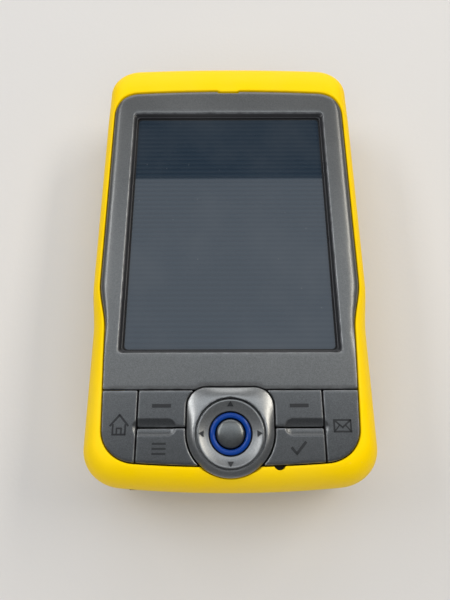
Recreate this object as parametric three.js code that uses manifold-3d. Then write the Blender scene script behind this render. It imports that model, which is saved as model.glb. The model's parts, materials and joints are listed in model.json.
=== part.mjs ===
// Handheld data collector: a pocket field computer lying on its back with the screen up.
// Millimetres. The origin is the middle of the footprint, in the plane of the back face.
// +X points to the right of the screen, +Y to the top end and +Z out of the screen.
import * as THREE from 'three';
import { mergeVertices } from 'three/addons/utils/BufferGeometryUtils.js';
import Module from 'manifold-3d';

const wasm = await Module();
wasm.setup();

// Body
const bodyWidth = 74.8;
const bodyLength = 128.8;
const bezelHeight = 29.2; // back face to the flat of the front plate
const splitHeight = 12; // where the front and rear casings meet
const wall = 1.8;
const topCorner = 10;
const bottomCorner = 10.5;
const topBow = 1.0; // how far the ends bulge
const bottomBow = 1.8;
const backEdge = 5; // width of the rounding round the back face
const backRise = 6; // height of that rounding

// Rounding round the front: how far it reaches in, and how far it drops
const sideShoulder = 6;
const topShoulder = 11;
const bottomShoulder = 7;
const sideDrop = 5.5;
const gripDrop = 9; // below the waist, where the sides are rounder
const topDrop = 7.2;
const waistTop = -11; // the waist is measured from the body's middle
const waistBottom = -25;

// Clearances
const gap = 0.3; // between fixed neighbours
const runGap = 0.35; // round a piece that moves
const wide = 200; // reach of a cutter that goes right through

// Front plate and the ledge that carries it
const ledgeTop = 27.2;
const ledgeThickness = 1.3;
const upperStrip = 2.85; // yellow left showing beside the plate
const waistStep = 2.35; // extra strip below the waist
const gripTaper = 0.045;
const topBand = 12.6;
const bottomBand = 6.4;
const plateTopCorner = 7;
const plateBottomCorner = 8;
const plateBow = 0.8;
const nibWidth = 5.8;
const nibDepth = 0.45;

// Screen
const keyZone = 24.3; // bottom end to the seam above the keys
const chin = 9.35; // seam to the screen opening
const screenWidth = 57;
const screenHeight = 74.3;
const screenDraft = 0.7; // each wall of the opening leans in by this
const glassThickness = 1.2;
const glassLip = 1.6; // glass hidden under the plate on each side
const lcdThickness = 2.5;
const lcdBorder = 0.4;
const bracketThickness = 0.7;
const bracketWindow = 8; // rim left round the bracket's window

// Keys
const outerSplit = 22.7;
const keySplit = 15.2; // bottom end to the line between the soft keys and the lower keys
const keyFloor = 27.6; // underside of the key caps
const keyTravel = 0.35;
const scoopLength = 10.6;
const scoopWidth = 4;
const scoopDepth = 0.75;
const scoopAcross = 18.4;
const matThickness = 1.0;
const keyBoardThickness = 1.1;
const keySupportHalf = 29; // half-width of the mat and board under the keys

// Navigation pad
const navUp = 13.8; // bottom end to the pad's centre
const navRadius = 8.12;
const navHole = 5.3;
const surroundRim = 2.48; // ring to the surround's outside
const surroundOffset = 0.5; // the surround's circle sits this much above the pad's centre
const surroundCorner = 4.8;
const surroundCrown = 0.8; // above the plate
const centreRadius = 3.4;
const lightOuter = 5.0;
const lightInner = 3.72;
const rockerThickness = 0.75;

// Boards and what they carry
const boardTop = 18.2;
const boardThickness = 1.2;
const boardMargin = 9.2; // side of the body to the board's edge
const boardEndMargin = 7.4;
const canHeight = 2.6;
const patchSize = 12;
const patchThickness = 4;
const cellRadius = 6.2;
const cellThickness = 2.1;

// Battery bay and door
const batteryWidth = 44;
const batteryLength = 60;
const batteryThickness = 9;
const batteryUp = 16.4; // bottom end to the battery
const batteryBase = 2.2;
const bayWall = 1.4;
const doorThickness = 1.5;
const doorWidth = 48.6; // across its tongues
const doorTongue = 1.1;
const doorTongueHeight = 0.6;
const doorAbove = 3; // door past the battery's upper end

// Stylus
const stylusRadius = 2.1;
const stylusLength = 103;
const stylusPlay = 0.5; // round the stylus in its silo
const stylusHeight = 15.2;
const siloWall = 0.7;
const stylusSunk = 1.3; // stylus's head below the top end
const siloDown = 11; // top end to the silo's mouth

// Memory card, in the left side
const cardWidth = 24;
const cardDepth = 32;
const cardThickness = 2.1;
const cardUp = 82.5; // bottom end to the card's middle
const cardHeight = 20.2;
const cardGap = 0.2;
const socketWall = 0.5;

// Buttons round the sides
const buttonHeight = 3.6;
const buttonProud = 0.4;
const buttonClear = 0.2; // camera button's flange to the silo below it
const flangeReach = 0.8; // how far a button's flange reaches past its cap
const flangeRise = 0.4;
const rockerLength = 17;
const rockerUp = 58;
const rockerHeight = 16.6; // of the rocker and the record button
const recordLength = 8;
const recordUp = 40;
const cameraLength = 9;
const cameraUp = 75;
const powerLength = 10;
const powerAcross = 16;
const powerHeight = 17.4;

// Ports in the ends
const portHeight = 14.9;
const flapWidth = 10;
const flapHeight = 5.4;
const flapThickness = 1.3;
const headsetAcross = -21.5;
const antennaAcross = -17;
const tabProud = 0.6;
const plugRadius = 1.6;
const plugDepth = 0.5;
const jackRadius = 2.4;
const usbWidth = 7.7;
const usbHeight = 3.9;
const usbDepth = 9;
const usbAcross = 1;
const resetAcross = 14;
const resetRadius = 0.9;
const micAcross = 11.6;
const micNotch = 1.5;

// Back
const lensAcross = -15;
const speakerAcross = 15;
const backFeatureDown = 19; // top end to the lens and speaker
const windowRadius = 5;
const windowThickness = 1.1;
const speakerRadius = 8;
const speakerThickness = 3.4;
const screwIn = 9.6; // side of the body to the lower screws
const screwUp = 12.4;
const screwToSilo = 0.5; // from an upper screw's boss to the stylus silo
const topScrewDown = 12;
const screwRadius = 1;
const headRadius = 2.1;
const headThickness = 1.4;
const headBase = 1.0;
const screwLength = 12;
const bossWall = 1.4;
const bossTop = 20; // of the two lower bosses, which a rib ties to the side

// Values that follow
const halfWidth = bodyWidth / 2;
const topEnd = bodyLength / 2;
const bottomEnd = -bodyLength / 2;
const ledgeBase = ledgeTop - ledgeThickness;
const seamY = bottomEnd + keyZone;
const screenBottom = seamY + chin;
const screenTop = screenBottom + screenHeight;
const glassBase = ledgeTop - glassThickness;
const lcdTop = glassBase - gap;
const lcdBase = lcdTop - lcdThickness;
const bracketTop = lcdBase - gap;
const navY = bottomEnd + navUp;
const surroundY = navY + surroundOffset;
const matTop = ledgeBase - gap;
const stemBase = matTop + keyTravel + 0.05;
const boardBase = boardTop - boardThickness;
const boardHalf = halfWidth - boardMargin;
const surroundRadius = navRadius + surroundRim;
const siloRadius = stylusRadius + stylusPlay + siloWall;
const stylusIn = wall + gap + siloRadius; // side of the body to the stylus's axis
const siloTop = stylusHeight + siloRadius;
const cameraHeight = siloTop + buttonClear + flangeRise + buttonHeight / 2;
const screwAcross = halfWidth - screwIn;
const bossRadius = screwRadius + gap + bossWall;
const topScrewAcross = halfWidth - stylusIn - siloRadius - screwToSilo - bossRadius;
const cardEnd = -halfWidth + cardDepth + 3; // inner end of the card's socket
const batteryLow = bottomEnd + batteryUp;
const batteryHigh = batteryLow + batteryLength;
const bayRoof = batteryBase + batteryThickness + gap;
const doorHigh = batteryHigh + doorAbove;
const cardY = bottomEnd + cardUp;
const backFeatureY = topEnd - backFeatureDown;

const materials = {
  yellowPlastic: new THREE.MeshStandardMaterial({ color: 0xf5cf0a, roughness: 0.38, metalness: 0 }),
  greyPlate: new THREE.MeshStandardMaterial({ color: 0x70757a, roughness: 0.42, metalness: 0.6 }),
  keyGrey: new THREE.MeshStandardMaterial({ color: 0x656b70, roughness: 0.4, metalness: 0.5 }),
  satinSilver: new THREE.MeshStandardMaterial({ color: 0x9a9d9f, roughness: 0.25, metalness: 0.85 }),
  blueLight: new THREE.MeshStandardMaterial({ color: 0x0c3c94, roughness: 0.15, metalness: 0 }),
  screenGlass: new THREE.MeshStandardMaterial({ color: 0x2c3644, roughness: 0.08, metalness: 0 }),
  darkPlastic: new THREE.MeshStandardMaterial({ color: 0x2b2d30, roughness: 0.55, metalness: 0 }),
  rubber: new THREE.MeshStandardMaterial({ color: 0x18191a, roughness: 0.8, metalness: 0 }),
  sheetSteel: new THREE.MeshStandardMaterial({ color: 0xb9bcbf, roughness: 0.35, metalness: 0.9 }),
  greenBoard: new THREE.MeshStandardMaterial({ color: 0x1c5a36, roughness: 0.5, metalness: 0 }),
  ceramic: new THREE.MeshStandardMaterial({ color: 0xc9bfae, roughness: 0.6, metalness: 0 }),
  batteryWrap: new THREE.MeshStandardMaterial({ color: 0x3a3d42, roughness: 0.5, metalness: 0 }),
  contactGold: new THREE.MeshStandardMaterial({ color: 0xc9a24a, roughness: 0.3, metalness: 0.9 }),
};

// ---- Solids: closed geometry in, closed geometry out ----

function toSolid(geometry) {
  const bare = geometry.index ? geometry.toNonIndexed() : geometry.clone();
  bare.deleteAttribute('normal');
  bare.deleteAttribute('uv');
  const merged = mergeVertices(bare, 1e-4);
  const corners = merged.index.array;
  const kept = [];
  for (let i = 0; i < corners.length; i += 3) {
    const [a, b, c] = [corners[i], corners[i + 1], corners[i + 2]];
    if (a !== b && b !== c && c !== a) {
      kept.push(a, b, c);
    }
  }
  const vertProperties = new Float32Array(merged.attributes.position.array);
  return new wasm.Manifold(new wasm.Mesh({ numProp: 3, vertProperties, triVerts: new Uint32Array(kept) }));
}

function toGeometry(solid) {
  const mesh = solid.getMesh();
  const geometry = new THREE.BufferGeometry();
  geometry.setAttribute('position', new THREE.BufferAttribute(new Float32Array(mesh.vertProperties), 3));
  geometry.setIndex(new THREE.BufferAttribute(new Uint32Array(mesh.triVerts), 1));
  return geometry;
}

function join(...solids) {
  return solids.reduce((total, solid) => total.add(solid));
}

function cut(solid, ...cutters) {
  return cutters.reduce((rest, cutter) => rest.subtract(cutter), solid);
}

function box(x0, x1, y0, y1, z0, z1) {
  const geometry = new THREE.BoxGeometry(x1 - x0, y1 - y0, z1 - z0);
  geometry.translate((x0 + x1) / 2, (y0 + y1) / 2, (z0 + z1) / 2);
  return toSolid(geometry);
}

function prism(shape, z0, z1, curveSegments = 6) {
  const geometry = new THREE.ExtrudeGeometry(shape, { depth: z1 - z0, bevelEnabled: false, curveSegments });
  geometry.translate(0, 0, z0);
  return toSolid(geometry);
}

function rod(axis, centre, radius, from, to, sides = 16) {
  const geometry = new THREE.CylinderGeometry(radius, radius, to - from, sides);
  if (axis === 'x') {
    geometry.rotateZ(-Math.PI / 2);
  }
  if (axis === 'z') {
    geometry.rotateX(Math.PI / 2);
  }
  const middle = new THREE.Vector3(...centre);
  middle[axis] = (from + to) / 2;
  geometry.translate(middle.x, middle.y, middle.z);
  return toSolid(geometry);
}

function lathe(profile, x, y, sides = 40) {
  const points = profile.map(([radius, height]) => new THREE.Vector2(radius, height));
  const geometry = new THREE.LatheGeometry(points, sides);
  geometry.rotateX(Math.PI / 2);
  geometry.translate(x, y, 0);
  return toSolid(geometry);
}

function roundedRect(x0, x1, y0, y1, radius) {
  const shape = new THREE.Shape();
  shape.absarc(x1 - radius, y0 + radius, radius, -Math.PI / 2, 0);
  shape.absarc(x1 - radius, y1 - radius, radius, 0, Math.PI / 2);
  shape.absarc(x0 + radius, y1 - radius, radius, Math.PI / 2, Math.PI);
  shape.absarc(x0 + radius, y0 + radius, radius, Math.PI, 1.5 * Math.PI);
  return shape;
}

function slab(x0, x1, y0, y1, z0, z1, radius = 1) {
  return prism(roundedRect(x0, x1, y0, y1, radius), z0, z1, 3);
}

// A rounded bar lying along Y, its section in the XZ plane turned to face X
function sidePad(x0, x1, y, z, length, height) {
  const shape = roundedRect(-length / 2, length / 2, -height / 2, height / 2, height / 2 - 0.01);
  const geometry = new THREE.ExtrudeGeometry(shape, { depth: x1 - x0, bevelEnabled: false, curveSegments: 4 });
  geometry.rotateX(Math.PI / 2);
  geometry.rotateZ(Math.PI / 2);
  geometry.translate(x0, y, z);
  return toSolid(geometry);
}

// The same bar facing Y
function endPad(y0, y1, x, z, length, height, radius = height / 2 - 0.01) {
  const shape = roundedRect(-length / 2, length / 2, -height / 2, height / 2, radius);
  const geometry = new THREE.ExtrudeGeometry(shape, { depth: y1 - y0, bevelEnabled: false, curveSegments: 4 });
  geometry.rotateX(Math.PI / 2);
  geometry.translate(x, y1, z);
  return toSolid(geometry);
}

// Rings of equal length, lowest first, each counter-clockwise from above
function loft(rings) {
  const count = rings[0].length;
  const position = rings.flat().flatMap((p) => [p.x, p.y, p.z]);
  const index = [];
  for (let r = 0; r + 1 < rings.length; r += 1) {
    for (let i = 0; i < count; i += 1) {
      const j = (i + 1) % count;
      const [a, b, c, d] = [r * count + i, r * count + j, (r + 1) * count + j, (r + 1) * count + i];
      index.push(a, b, c, a, c, d);
    }
  }
  const last = (rings.length - 1) * count;
  for (const [a, b, c] of THREE.ShapeUtils.triangulateShape(rings[0].map(flat), [])) {
    index.push(a, c, b);
  }
  for (const [a, b, c] of THREE.ShapeUtils.triangulateShape(rings.at(-1).map(flat), [])) {
    index.push(last + a, last + b, last + c);
  }
  const geometry = new THREE.BufferGeometry();
  geometry.setAttribute('position', new THREE.Float32BufferAttribute(position, 3));
  geometry.setIndex(index);
  return toSolid(geometry);
}

function flat(point) {
  return new THREE.Vector2(point.x, point.y);
}

function smooth(from, to, value) {
  const t = Math.min(1, Math.max(0, (value - from) / (to - from)));
  return t * t * (3 - 2 * t);
}

// ---- The body's shape ----

// A closed outline with straight or waisted sides, rounded corners and bowed ends
function outline(halfAt, top, bottom, cornerTop, cornerBottom, bowTop, bowBottom, sideSteps) {
  const shape = new THREE.Shape();
  const high = top - bowTop - cornerTop;
  const low = bottom + bowBottom + cornerBottom;
  const round = 0.552;
  const stations = [];
  for (let i = 0; i <= sideSteps; i += 1) {
    stations.push(low + ((high - low) * i) / sideSteps);
  }
  const end = (side, y, corner, bow, up) => {
    const from = side * halfAt(y);
    const x = from - side * corner;
    const edge = y + up * corner;
    const slope = (2 * bow) / Math.abs(x);
    return { from, x, edge, slope, y };
  };
  const corner = (e, length, up, outward) => {
    const near = [e.from, e.y + up * round * length];
    const far = [e.x + (e.from - e.x) * round, e.edge - up * e.slope * round * length];
    if (outward) {
      shape.bezierCurveTo(...near, ...far, e.x, e.edge);
    } else {
      shape.bezierCurveTo(...far, ...near, e.from, e.y);
    }
  };
  shape.moveTo(halfAt(low), low);
  stations.slice(1).forEach((y) => shape.lineTo(halfAt(y), y));
  const topRight = end(1, high, cornerTop, bowTop, 1);
  const bottomLeft = end(-1, low, cornerBottom, bowBottom, -1);
  corner(topRight, cornerTop, 1, true);
  shape.quadraticCurveTo(0, topRight.edge + 2 * bowTop, -topRight.x, topRight.edge);
  corner(end(-1, high, cornerTop, bowTop, 1), cornerTop, 1, false);
  stations.reverse().slice(1).forEach((y) => shape.lineTo(-halfAt(y), y));
  corner(bottomLeft, cornerBottom, -1, true);
  shape.quadraticCurveTo(0, bottomLeft.edge - 2 * bowBottom, -bottomLeft.x, bottomLeft.edge);
  corner(end(1, low, cornerBottom, bowBottom, -1), cornerBottom, -1, false);
  return shape;
}

const ringDivisions = 4;
const bodySideSteps = 8;

// The body's outline pulled in by its own amount at the sides and at each end
function bodyRing(side, top, bottom, cornerShare, heightAt) {
  const shape = outline(
    () => halfWidth - side,
    topEnd - top,
    bottomEnd + bottom,
    topCorner * cornerShare,
    bottomCorner * cornerShare,
    topBow,
    bottomBow,
    bodySideSteps,
  );
  const points = shape.getPoints(ringDivisions);
  points.pop();
  return points.map((p) => new THREE.Vector3(p.x, p.y, heightAt(p.y)));
}

// How far the front edge drops from the plate to the upright side
function dropAt(y) {
  const grip = smooth(waistTop, waistBottom, y);
  const crest = smooth(topEnd - 24, topEnd - 9, y);
  return sideDrop + (gripDrop - sideDrop) * grip + (topDrop - sideDrop) * crest;
}

function bodyBlank() {
  const rings = [];
  const cornerLoss = 0.55;
  for (const turn of [90, 60, 30, 0]) {
    const angle = THREE.MathUtils.degToRad(turn);
    const inset = backEdge * (1 - Math.cos(angle));
    const share = 1 - (inset / topCorner) * cornerLoss;
    rings.push(bodyRing(inset, inset, inset, share, () => backRise * (1 - Math.sin(angle))));
  }
  for (const turn of [0, 24, 46, 68, 90]) {
    const angle = THREE.MathUtils.degToRad(turn);
    const s = 1 - Math.cos(angle);
    const height = (y) => bezelHeight - dropAt(y) * (1 - Math.sin(angle));
    rings.push(bodyRing(sideShoulder * s, topShoulder * s, bottomShoulder * s, 1 - cornerLoss * s, height));
  }
  return loft(rings);
}

function cavityBlank() {
  const low = wall + 1.4;
  const high = wall + 1.9;
  const share = 1 - wall / topCorner;
  return loft([
    bodyRing(low, low, low, share, () => wall + 0.1),
    bodyRing(wall, wall, wall, share, () => backRise),
    bodyRing(wall, wall, wall, share, () => bezelHeight - gripDrop - 1),
    bodyRing(wall + 1.3, high, high, share, () => ledgeBase),
  ]);
}

function plateHalf(y) {
  const grip = smooth(waistTop, waistBottom, y);
  const taper = gripTaper * Math.max(0, waistBottom - y);
  return halfWidth - upperStrip - waistStep * grip - taper;
}

function plateOutline(grow) {
  return outline(
    (y) => plateHalf(y) + grow,
    topEnd - topBand + grow,
    bottomEnd + bottomBand - grow,
    plateTopCorner + grow,
    plateBottomCorner + grow,
    plateBow,
    plateBow,
    16,
  );
}

// The surround's outline: a half circle below and a square with round corners above
function surroundOutline(grow) {
  const radius = surroundRadius + grow;
  const corner = surroundCorner + grow;
  const shape = new THREE.Shape();
  shape.absarc(radius - corner, surroundY + radius - corner, corner, 0, Math.PI / 2);
  shape.absarc(corner - radius, surroundY + radius - corner, corner, Math.PI / 2, Math.PI);
  shape.absarc(0, surroundY, radius, Math.PI, 2 * Math.PI);
  return shape;
}

const blank = bodyBlank();
const cavity = cavityBlank();
const screws = [
  [screwAcross, bottomEnd + screwUp],
  [-screwAcross, bottomEnd + screwUp],
  [topScrewAcross, topEnd - topScrewDown],
  [-topScrewAcross, topEnd - topScrewDown],
];

// ---- Front casing ----

function plateBlank(grow) {
  return blank.intersect(prism(plateOutline(grow), keyFloor, wide));
}

function screwBosses() {
  const lower = screws.slice(0, 2).map(([x, y]) => {
    const side = Math.sign(x) * halfWidth;
    const rib = box(Math.min(x, side), Math.max(x, side), y - 1, y + 1, splitHeight + gap, bossTop);
    return rod('z', [x, y, 0], bossRadius, splitHeight + gap, bossTop).add(rib);
  });
  const upper = screws.slice(2).map(([x, y]) => rod('z', [x, y, 0], bossRadius, splitHeight + gap, ledgeTop));
  const bosses = join(...lower, ...upper);
  return bosses.intersect(blank);
}

function keyStem(key, grow) {
  const [x, y] = [key.stem[0] / 2 + grow, key.stem[1] / 2 + grow];
  return box(key.x - x, key.x + x, key.y - y, key.y + y, stemBase - 3 * grow, keyFloor + 0.2);
}

function frontCasing() {
  const upper = box(-wide, wide, -wide, wide, splitHeight, wide);
  const nibEnd = topEnd - topBand;
  const nib = box(-nibWidth / 2, nibWidth / 2, nibEnd - nibDepth, nibEnd + 2, ledgeTop, bezelHeight);
  const pocket = prism(plateOutline(gap), ledgeTop, wide).subtract(nib);
  const surroundWell = prism(surroundOutline(gap), ledgeTop, wide);
  const glassWell = box(
    -screenWidth / 2 - glassLip - gap,
    screenWidth / 2 + glassLip + gap,
    screenBottom - glassLip - gap,
    screenTop + glassLip + gap,
    ledgeBase - 1,
    wide,
  );
  const navWell = rod('z', [0, navY, 0], navRadius + 1.2, ledgeBase - 1, wide, 28);
  const keyWells = keys.map((key) => keyStem(key, runGap));
  const pilots = screws.map(([x, y]) => rod('z', [x, y, 0], screwRadius + gap, 0, screwLength + 2, 8));
  const shell = cut(blank.intersect(upper), cavity).add(screwBosses());
  const opened = cut(shell, pocket, surroundWell, glassWell, navWell, ...keyWells, ...pilots);
  return cut(opened, ...sideOpenings(), ...endOpenings(), micHole());
}

function micHole() {
  const y = bottomEnd + bottomBand - gap;
  const notch = rod('z', [micAcross, y, 0], micNotch, ledgeTop, wide, 14);
  return notch.add(rod('z', [micAcross, y, 0], 0.7, ledgeBase - 3, wide, 8));
}

// ---- Front plate, keys and navigation pad ----

function screenCutter() {
  const level = (inset, z) => {
    const shape = roundedRect(
      -screenWidth / 2 + inset,
      screenWidth / 2 - inset,
      screenBottom + inset,
      screenTop - inset,
      1,
    );
    const points = shape.getPoints(3);
    points.pop();
    return points.map((p) => new THREE.Vector3(p.x, p.y, z));
  };
  return loft([level(screenDraft, ledgeTop), level(0, bezelHeight), level(0, bezelHeight + 2)]);
}

function frontPlate() {
  const above = box(-wide, wide, seamY + runGap / 2, wide, 0, wide);
  const notch = box(
    -nibWidth / 2 - gap,
    nibWidth / 2 + gap,
    topEnd - topBand - nibDepth - gap,
    wide,
    0,
    wide,
  );
  const surroundCut = prism(surroundOutline(gap), 0, wide);
  return cut(plateBlank(0).intersect(above), notch, screenCutter(), surroundCut);
}

// One entry for each key: its side of the body, its plan limits and its stem
const keyColumn = { outer: [outerSplit, wide], inner: [0, outerSplit] };
const keyRow = {
  full: [-wide, seamY],
  upper: [bottomEnd + keySplit, seamY],
  lower: [-wide, bottomEnd + keySplit],
};
const keyPlaces = [
  { name: 'home_key', side: -1, column: 'outer', row: 'full', at: [27, 16.2], stem: [4.6, 8] },
  { name: 'left_soft_key', side: -1, column: 'inner', row: 'upper', at: [16.8, 19.8], stem: [7, 4] },
  { name: 'start_key', side: -1, column: 'inner', row: 'lower', at: [17, 10.9], stem: [7, 4] },
  { name: 'right_soft_key', side: 1, column: 'inner', row: 'upper', at: [16.8, 19.8], stem: [7, 4] },
  { name: 'ok_key', side: 1, column: 'inner', row: 'lower', at: [17, 10.9], stem: [7, 4] },
  { name: 'mail_key', side: 1, column: 'outer', row: 'full', at: [27, 16.2], stem: [4.6, 8] },
];
const keys = keyPlaces.map((key) => ({ ...key, x: key.side * key.at[0], y: bottomEnd + key.at[1] }));

function scoop(side) {
  const radius = (scoopWidth ** 2 / 4 + scoopDepth ** 2) / (2 * scoopDepth);
  const half = (scoopLength - scoopWidth) / 2;
  const height = bezelHeight - scoopDepth + radius;
  const x = side * scoopAcross;
  const y = bottomEnd + keySplit;
  const bar = rod('x', [x, y, height], radius, x - half, x + half, 24);
  const ends = [x - half, x + half].map((at) => {
    const ball = new THREE.SphereGeometry(radius, 24, 16);
    ball.rotateX(Math.PI / 2);
    ball.translate(at, y, height);
    return toSolid(ball);
  });
  return join(bar, ...ends);
}

function keyCap(key) {
  const half = runGap / 2;
  const [near, far] = keyColumn[key.column];
  const [low, high] = keyRow[key.row];
  const inside = key.side > 0 ? [near + half, far - half] : [-far + half, -near - half];
  const region = box(inside[0], inside[1], low + half, high - half, 0, wide);
  const cap = plateBlank(0).intersect(region);
  const body = cut(cap, prism(surroundOutline(runGap), 0, wide), scoop(key.side));
  return body.add(keyStem(key, 0));
}

function navSurround() {
  const crown = bezelHeight + surroundCrown;
  const levels = [
    [0, ledgeTop + gap],
    [0, bezelHeight - 0.3],
    [0.25, bezelHeight + 0.2],
    [0.9, crown - 0.15],
    [1.5, crown],
  ];
  const rings = levels.map(([inset, z]) => {
    const points = surroundOutline(-inset).getPoints(8);
    return points.map((p) => new THREE.Vector3(p.x, p.y, z));
  });
  const dish = [
    [0, ledgeTop - 1],
    [navRadius + 1.2, ledgeTop - 1],
    [navRadius + 1.2, bezelHeight - 0.8],
    [navRadius + runGap, bezelHeight - 0.8],
    [navRadius + runGap, bezelHeight + 0.35],
    [navRadius + 0.9, crown - 0.1],
    [navRadius + 1.0, crown + 2],
    [0, crown + 2],
  ];
  return loft(rings).subtract(lathe(dish, 0, navY, 36));
}

function navRing() {
  const rim = bezelHeight + 0.3;
  return lathe(
    [
      [navHole, ledgeTop],
      [navRadius + 0.8, ledgeTop],
      [navRadius + 0.8, ledgeTop + 0.5],
      [navRadius, ledgeTop + 0.5],
      [navRadius, rim - 0.2],
      [navRadius - 0.3, rim],
      [navHole + 0.4, rim - 0.6],
      [navHole, rim - 0.75],
      [navHole, ledgeTop],
    ],
    0,
    navY,
    36,
  );
}

function navLightRing() {
  const top = bezelHeight - 0.35;
  return lathe(
    [
      [lightInner, ledgeTop],
      [lightOuter, ledgeTop],
      [lightOuter, top - 0.25],
      [(lightInner + lightOuter) / 2, top],
      [lightInner, top - 0.25],
      [lightInner, ledgeTop],
    ],
    0,
    navY,
  );
}

function centreButton() {
  const top = bezelHeight + 0.3;
  return lathe(
    [
      [0, stemBase],
      [2.2, stemBase],
      [2.2, ledgeTop],
      [centreRadius, ledgeTop],
      [centreRadius, top - 0.75],
      [centreRadius - 0.35, top - 0.4],
      [centreRadius * 0.5, top - 0.08],
      [0, top],
    ],
    0,
    navY,
    28,
  );
}

function navRocker() {
  const base = matTop + 0.4;
  return lathe(
    [
      [navHole - 1.4, base],
      [navRadius - 0.1, base],
      [navRadius - 0.1, base + rockerThickness],
      [navHole - 1.4, base + rockerThickness],
      [navHole - 1.4, base],
    ],
    0,
    navY,
    32,
  );
}

function keySupport(top, thickness) {
  return slab(
    -keySupportHalf,
    keySupportHalf,
    bottomEnd + bottomBand + 2.4,
    seamY + 1,
    top - thickness,
    top,
    5,
  );
}

// ---- Screen stack ----

function touchPanel() {
  const x = screenWidth / 2 + glassLip;
  return slab(-x, x, screenBottom - glassLip, screenTop + glassLip, glassBase, ledgeTop, 1);
}

function lcdLimits(grow) {
  const x = screenWidth / 2 + glassLip + lcdBorder + grow;
  return [-x, x, screenBottom - glassLip - grow, screenTop + glassLip + lcdBorder + grow];
}

function lcdModule() {
  return slab(...lcdLimits(0), lcdBase, lcdTop, 0.8);
}

function lcdBracket() {
  const [x0, x1, y0, y1] = lcdLimits(0.4);
  const rim = bracketWindow;
  const plate = slab(x0, x1, y0, y1, bracketTop - bracketThickness, bracketTop, 1);
  return plate.subtract(slab(x0 + rim, x1 - rim, y0 + rim, y1 - rim, 0, wide, 2));
}

// ---- Boards and what they carry ----

function mainBoard() {
  const corner = 4;
  const board = slab(
    -boardHalf,
    boardHalf,
    bottomEnd + boardEndMargin,
    topEnd - boardEndMargin,
    boardBase,
    boardTop,
    corner,
  );
  const reliefs = screws.map(([x, y]) => rod('z', [x, y, 0], bossRadius + gap, 0, wide, 16));
  return cut(board, ...reliefs);
}

function shieldCan(x0, x1, y0, y1) {
  return slab(x0, x1, y0, y1, boardTop + gap, boardTop + gap + canHeight, 0.6);
}

function processorShield() {
  return shieldCan(cardEnd + 0.4, boardHalf - 3.2, cardY - 13, cardY + 12);
}

function radioShield() {
  const half = boardHalf - 6.2;
  return shieldCan(-half, half, cardY - 42, cardY - 18);
}

function cardSocket() {
  const y = cardWidth / 2 + cardGap + socketWall;
  const z = cardThickness / 2 + cardGap + socketWall;
  const outer = box(
    -halfWidth + wall + 1,
    cardEnd,
    cardY - y,
    cardY + y,
    cardHeight - z,
    cardHeight + z,
  );
  return outer.subtract(cardSpace());
}

function cardSpace() {
  const y = cardWidth / 2 + cardGap;
  const z = cardThickness / 2 + cardGap;
  return box(-wide, cardEnd - 1.5, cardY - y, cardY + y, cardHeight - z, cardHeight + z);
}

function memoryCard() {
  const x = -halfWidth + 0.4;
  const shape = new THREE.Shape();
  shape.moveTo(x, cardY - cardWidth / 2);
  shape.lineTo(x + cardDepth - 3, cardY - cardWidth / 2);
  shape.lineTo(x + cardDepth, cardY - cardWidth / 2 + 3);
  shape.lineTo(x + cardDepth, cardY + cardWidth / 2);
  shape.lineTo(x, cardY + cardWidth / 2);
  return prism(shape, cardHeight - cardThickness / 2, cardHeight + cardThickness / 2);
}

function gpsAntenna() {
  const y = screenTop + glassLip + lcdBorder + 1.4;
  return slab(
    -patchSize / 2,
    patchSize / 2,
    y,
    y + patchSize - 1.5,
    boardTop + gap,
    boardTop + gap + patchThickness,
    0.6,
  );
}

function backupCell() {
  const base = boardTop + gap;
  return rod('z', [topScrewAcross - 12, topEnd - 21, 0], cellRadius, base, base + cellThickness, 24);
}

function microphone() {
  const y = bottomEnd + bottomBand - gap;
  return rod('z', [micAcross, y, 0], 2, ledgeBase - 4.4, ledgeBase - 2.6, 14);
}

function batteryContacts() {
  const low = box(-8, 8, batteryHigh + 0.7, batteryHigh + 4.4, 4, 9);
  return low.add(box(-8, 8, batteryHigh + 2.6, batteryHigh + 4.4, 4, boardBase - gap));
}

// ---- Side buttons, ports and flaps ----

function sideButton(side, y, z, length) {
  const face = side * (halfWidth + buttonProud);
  const inner = side * (halfWidth - wall - 2.4);
  const flange = side * (halfWidth - wall - 1.2);
  const cap = sidePad(Math.min(face, flange), Math.max(face, flange), y, z, length, buttonHeight);
  const [reach, rise] = [length / 2 + flangeReach, buttonHeight / 2 + flangeRise];
  const [low, high] = [Math.min(inner, flange), Math.max(inner, flange)];
  return cap.add(box(low, high, y - reach, y + reach, z - rise, z + rise));
}

function sideHole(side, y, z, length, clear) {
  const reach = side * (halfWidth - wall - 2.6);
  const out = side * wide;
  const grow = 2 * clear;
  return sidePad(Math.min(reach, out), Math.max(reach, out), y, z, length + grow, buttonHeight + grow);
}

function sideOpenings() {
  return [
    sideHole(-1, bottomEnd + rockerUp, rockerHeight, rockerLength, runGap),
    sideHole(-1, bottomEnd + recordUp, rockerHeight, recordLength, runGap),
    sideHole(1, bottomEnd + cameraUp, cameraHeight, cameraLength, runGap),
    cardSpace().intersect(box(-wide, -halfWidth + wall + 1, -wide, wide, 0, wide)),
  ];
}

function volumeRocker() {
  return sideButton(-1, bottomEnd + rockerUp, rockerHeight, rockerLength);
}

function recordButton() {
  return sideButton(-1, bottomEnd + recordUp, rockerHeight, recordLength);
}

function cameraButton() {
  return sideButton(1, bottomEnd + cameraUp, cameraHeight, cameraLength);
}

// The end's own Y at a given X, on the bowed stretch between the corners
function endAt(x, end, bow) {
  const reach = halfWidth - topCorner;
  return Math.sign(end) * (Math.abs(end) - bow * (x / reach) ** 2);
}

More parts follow.
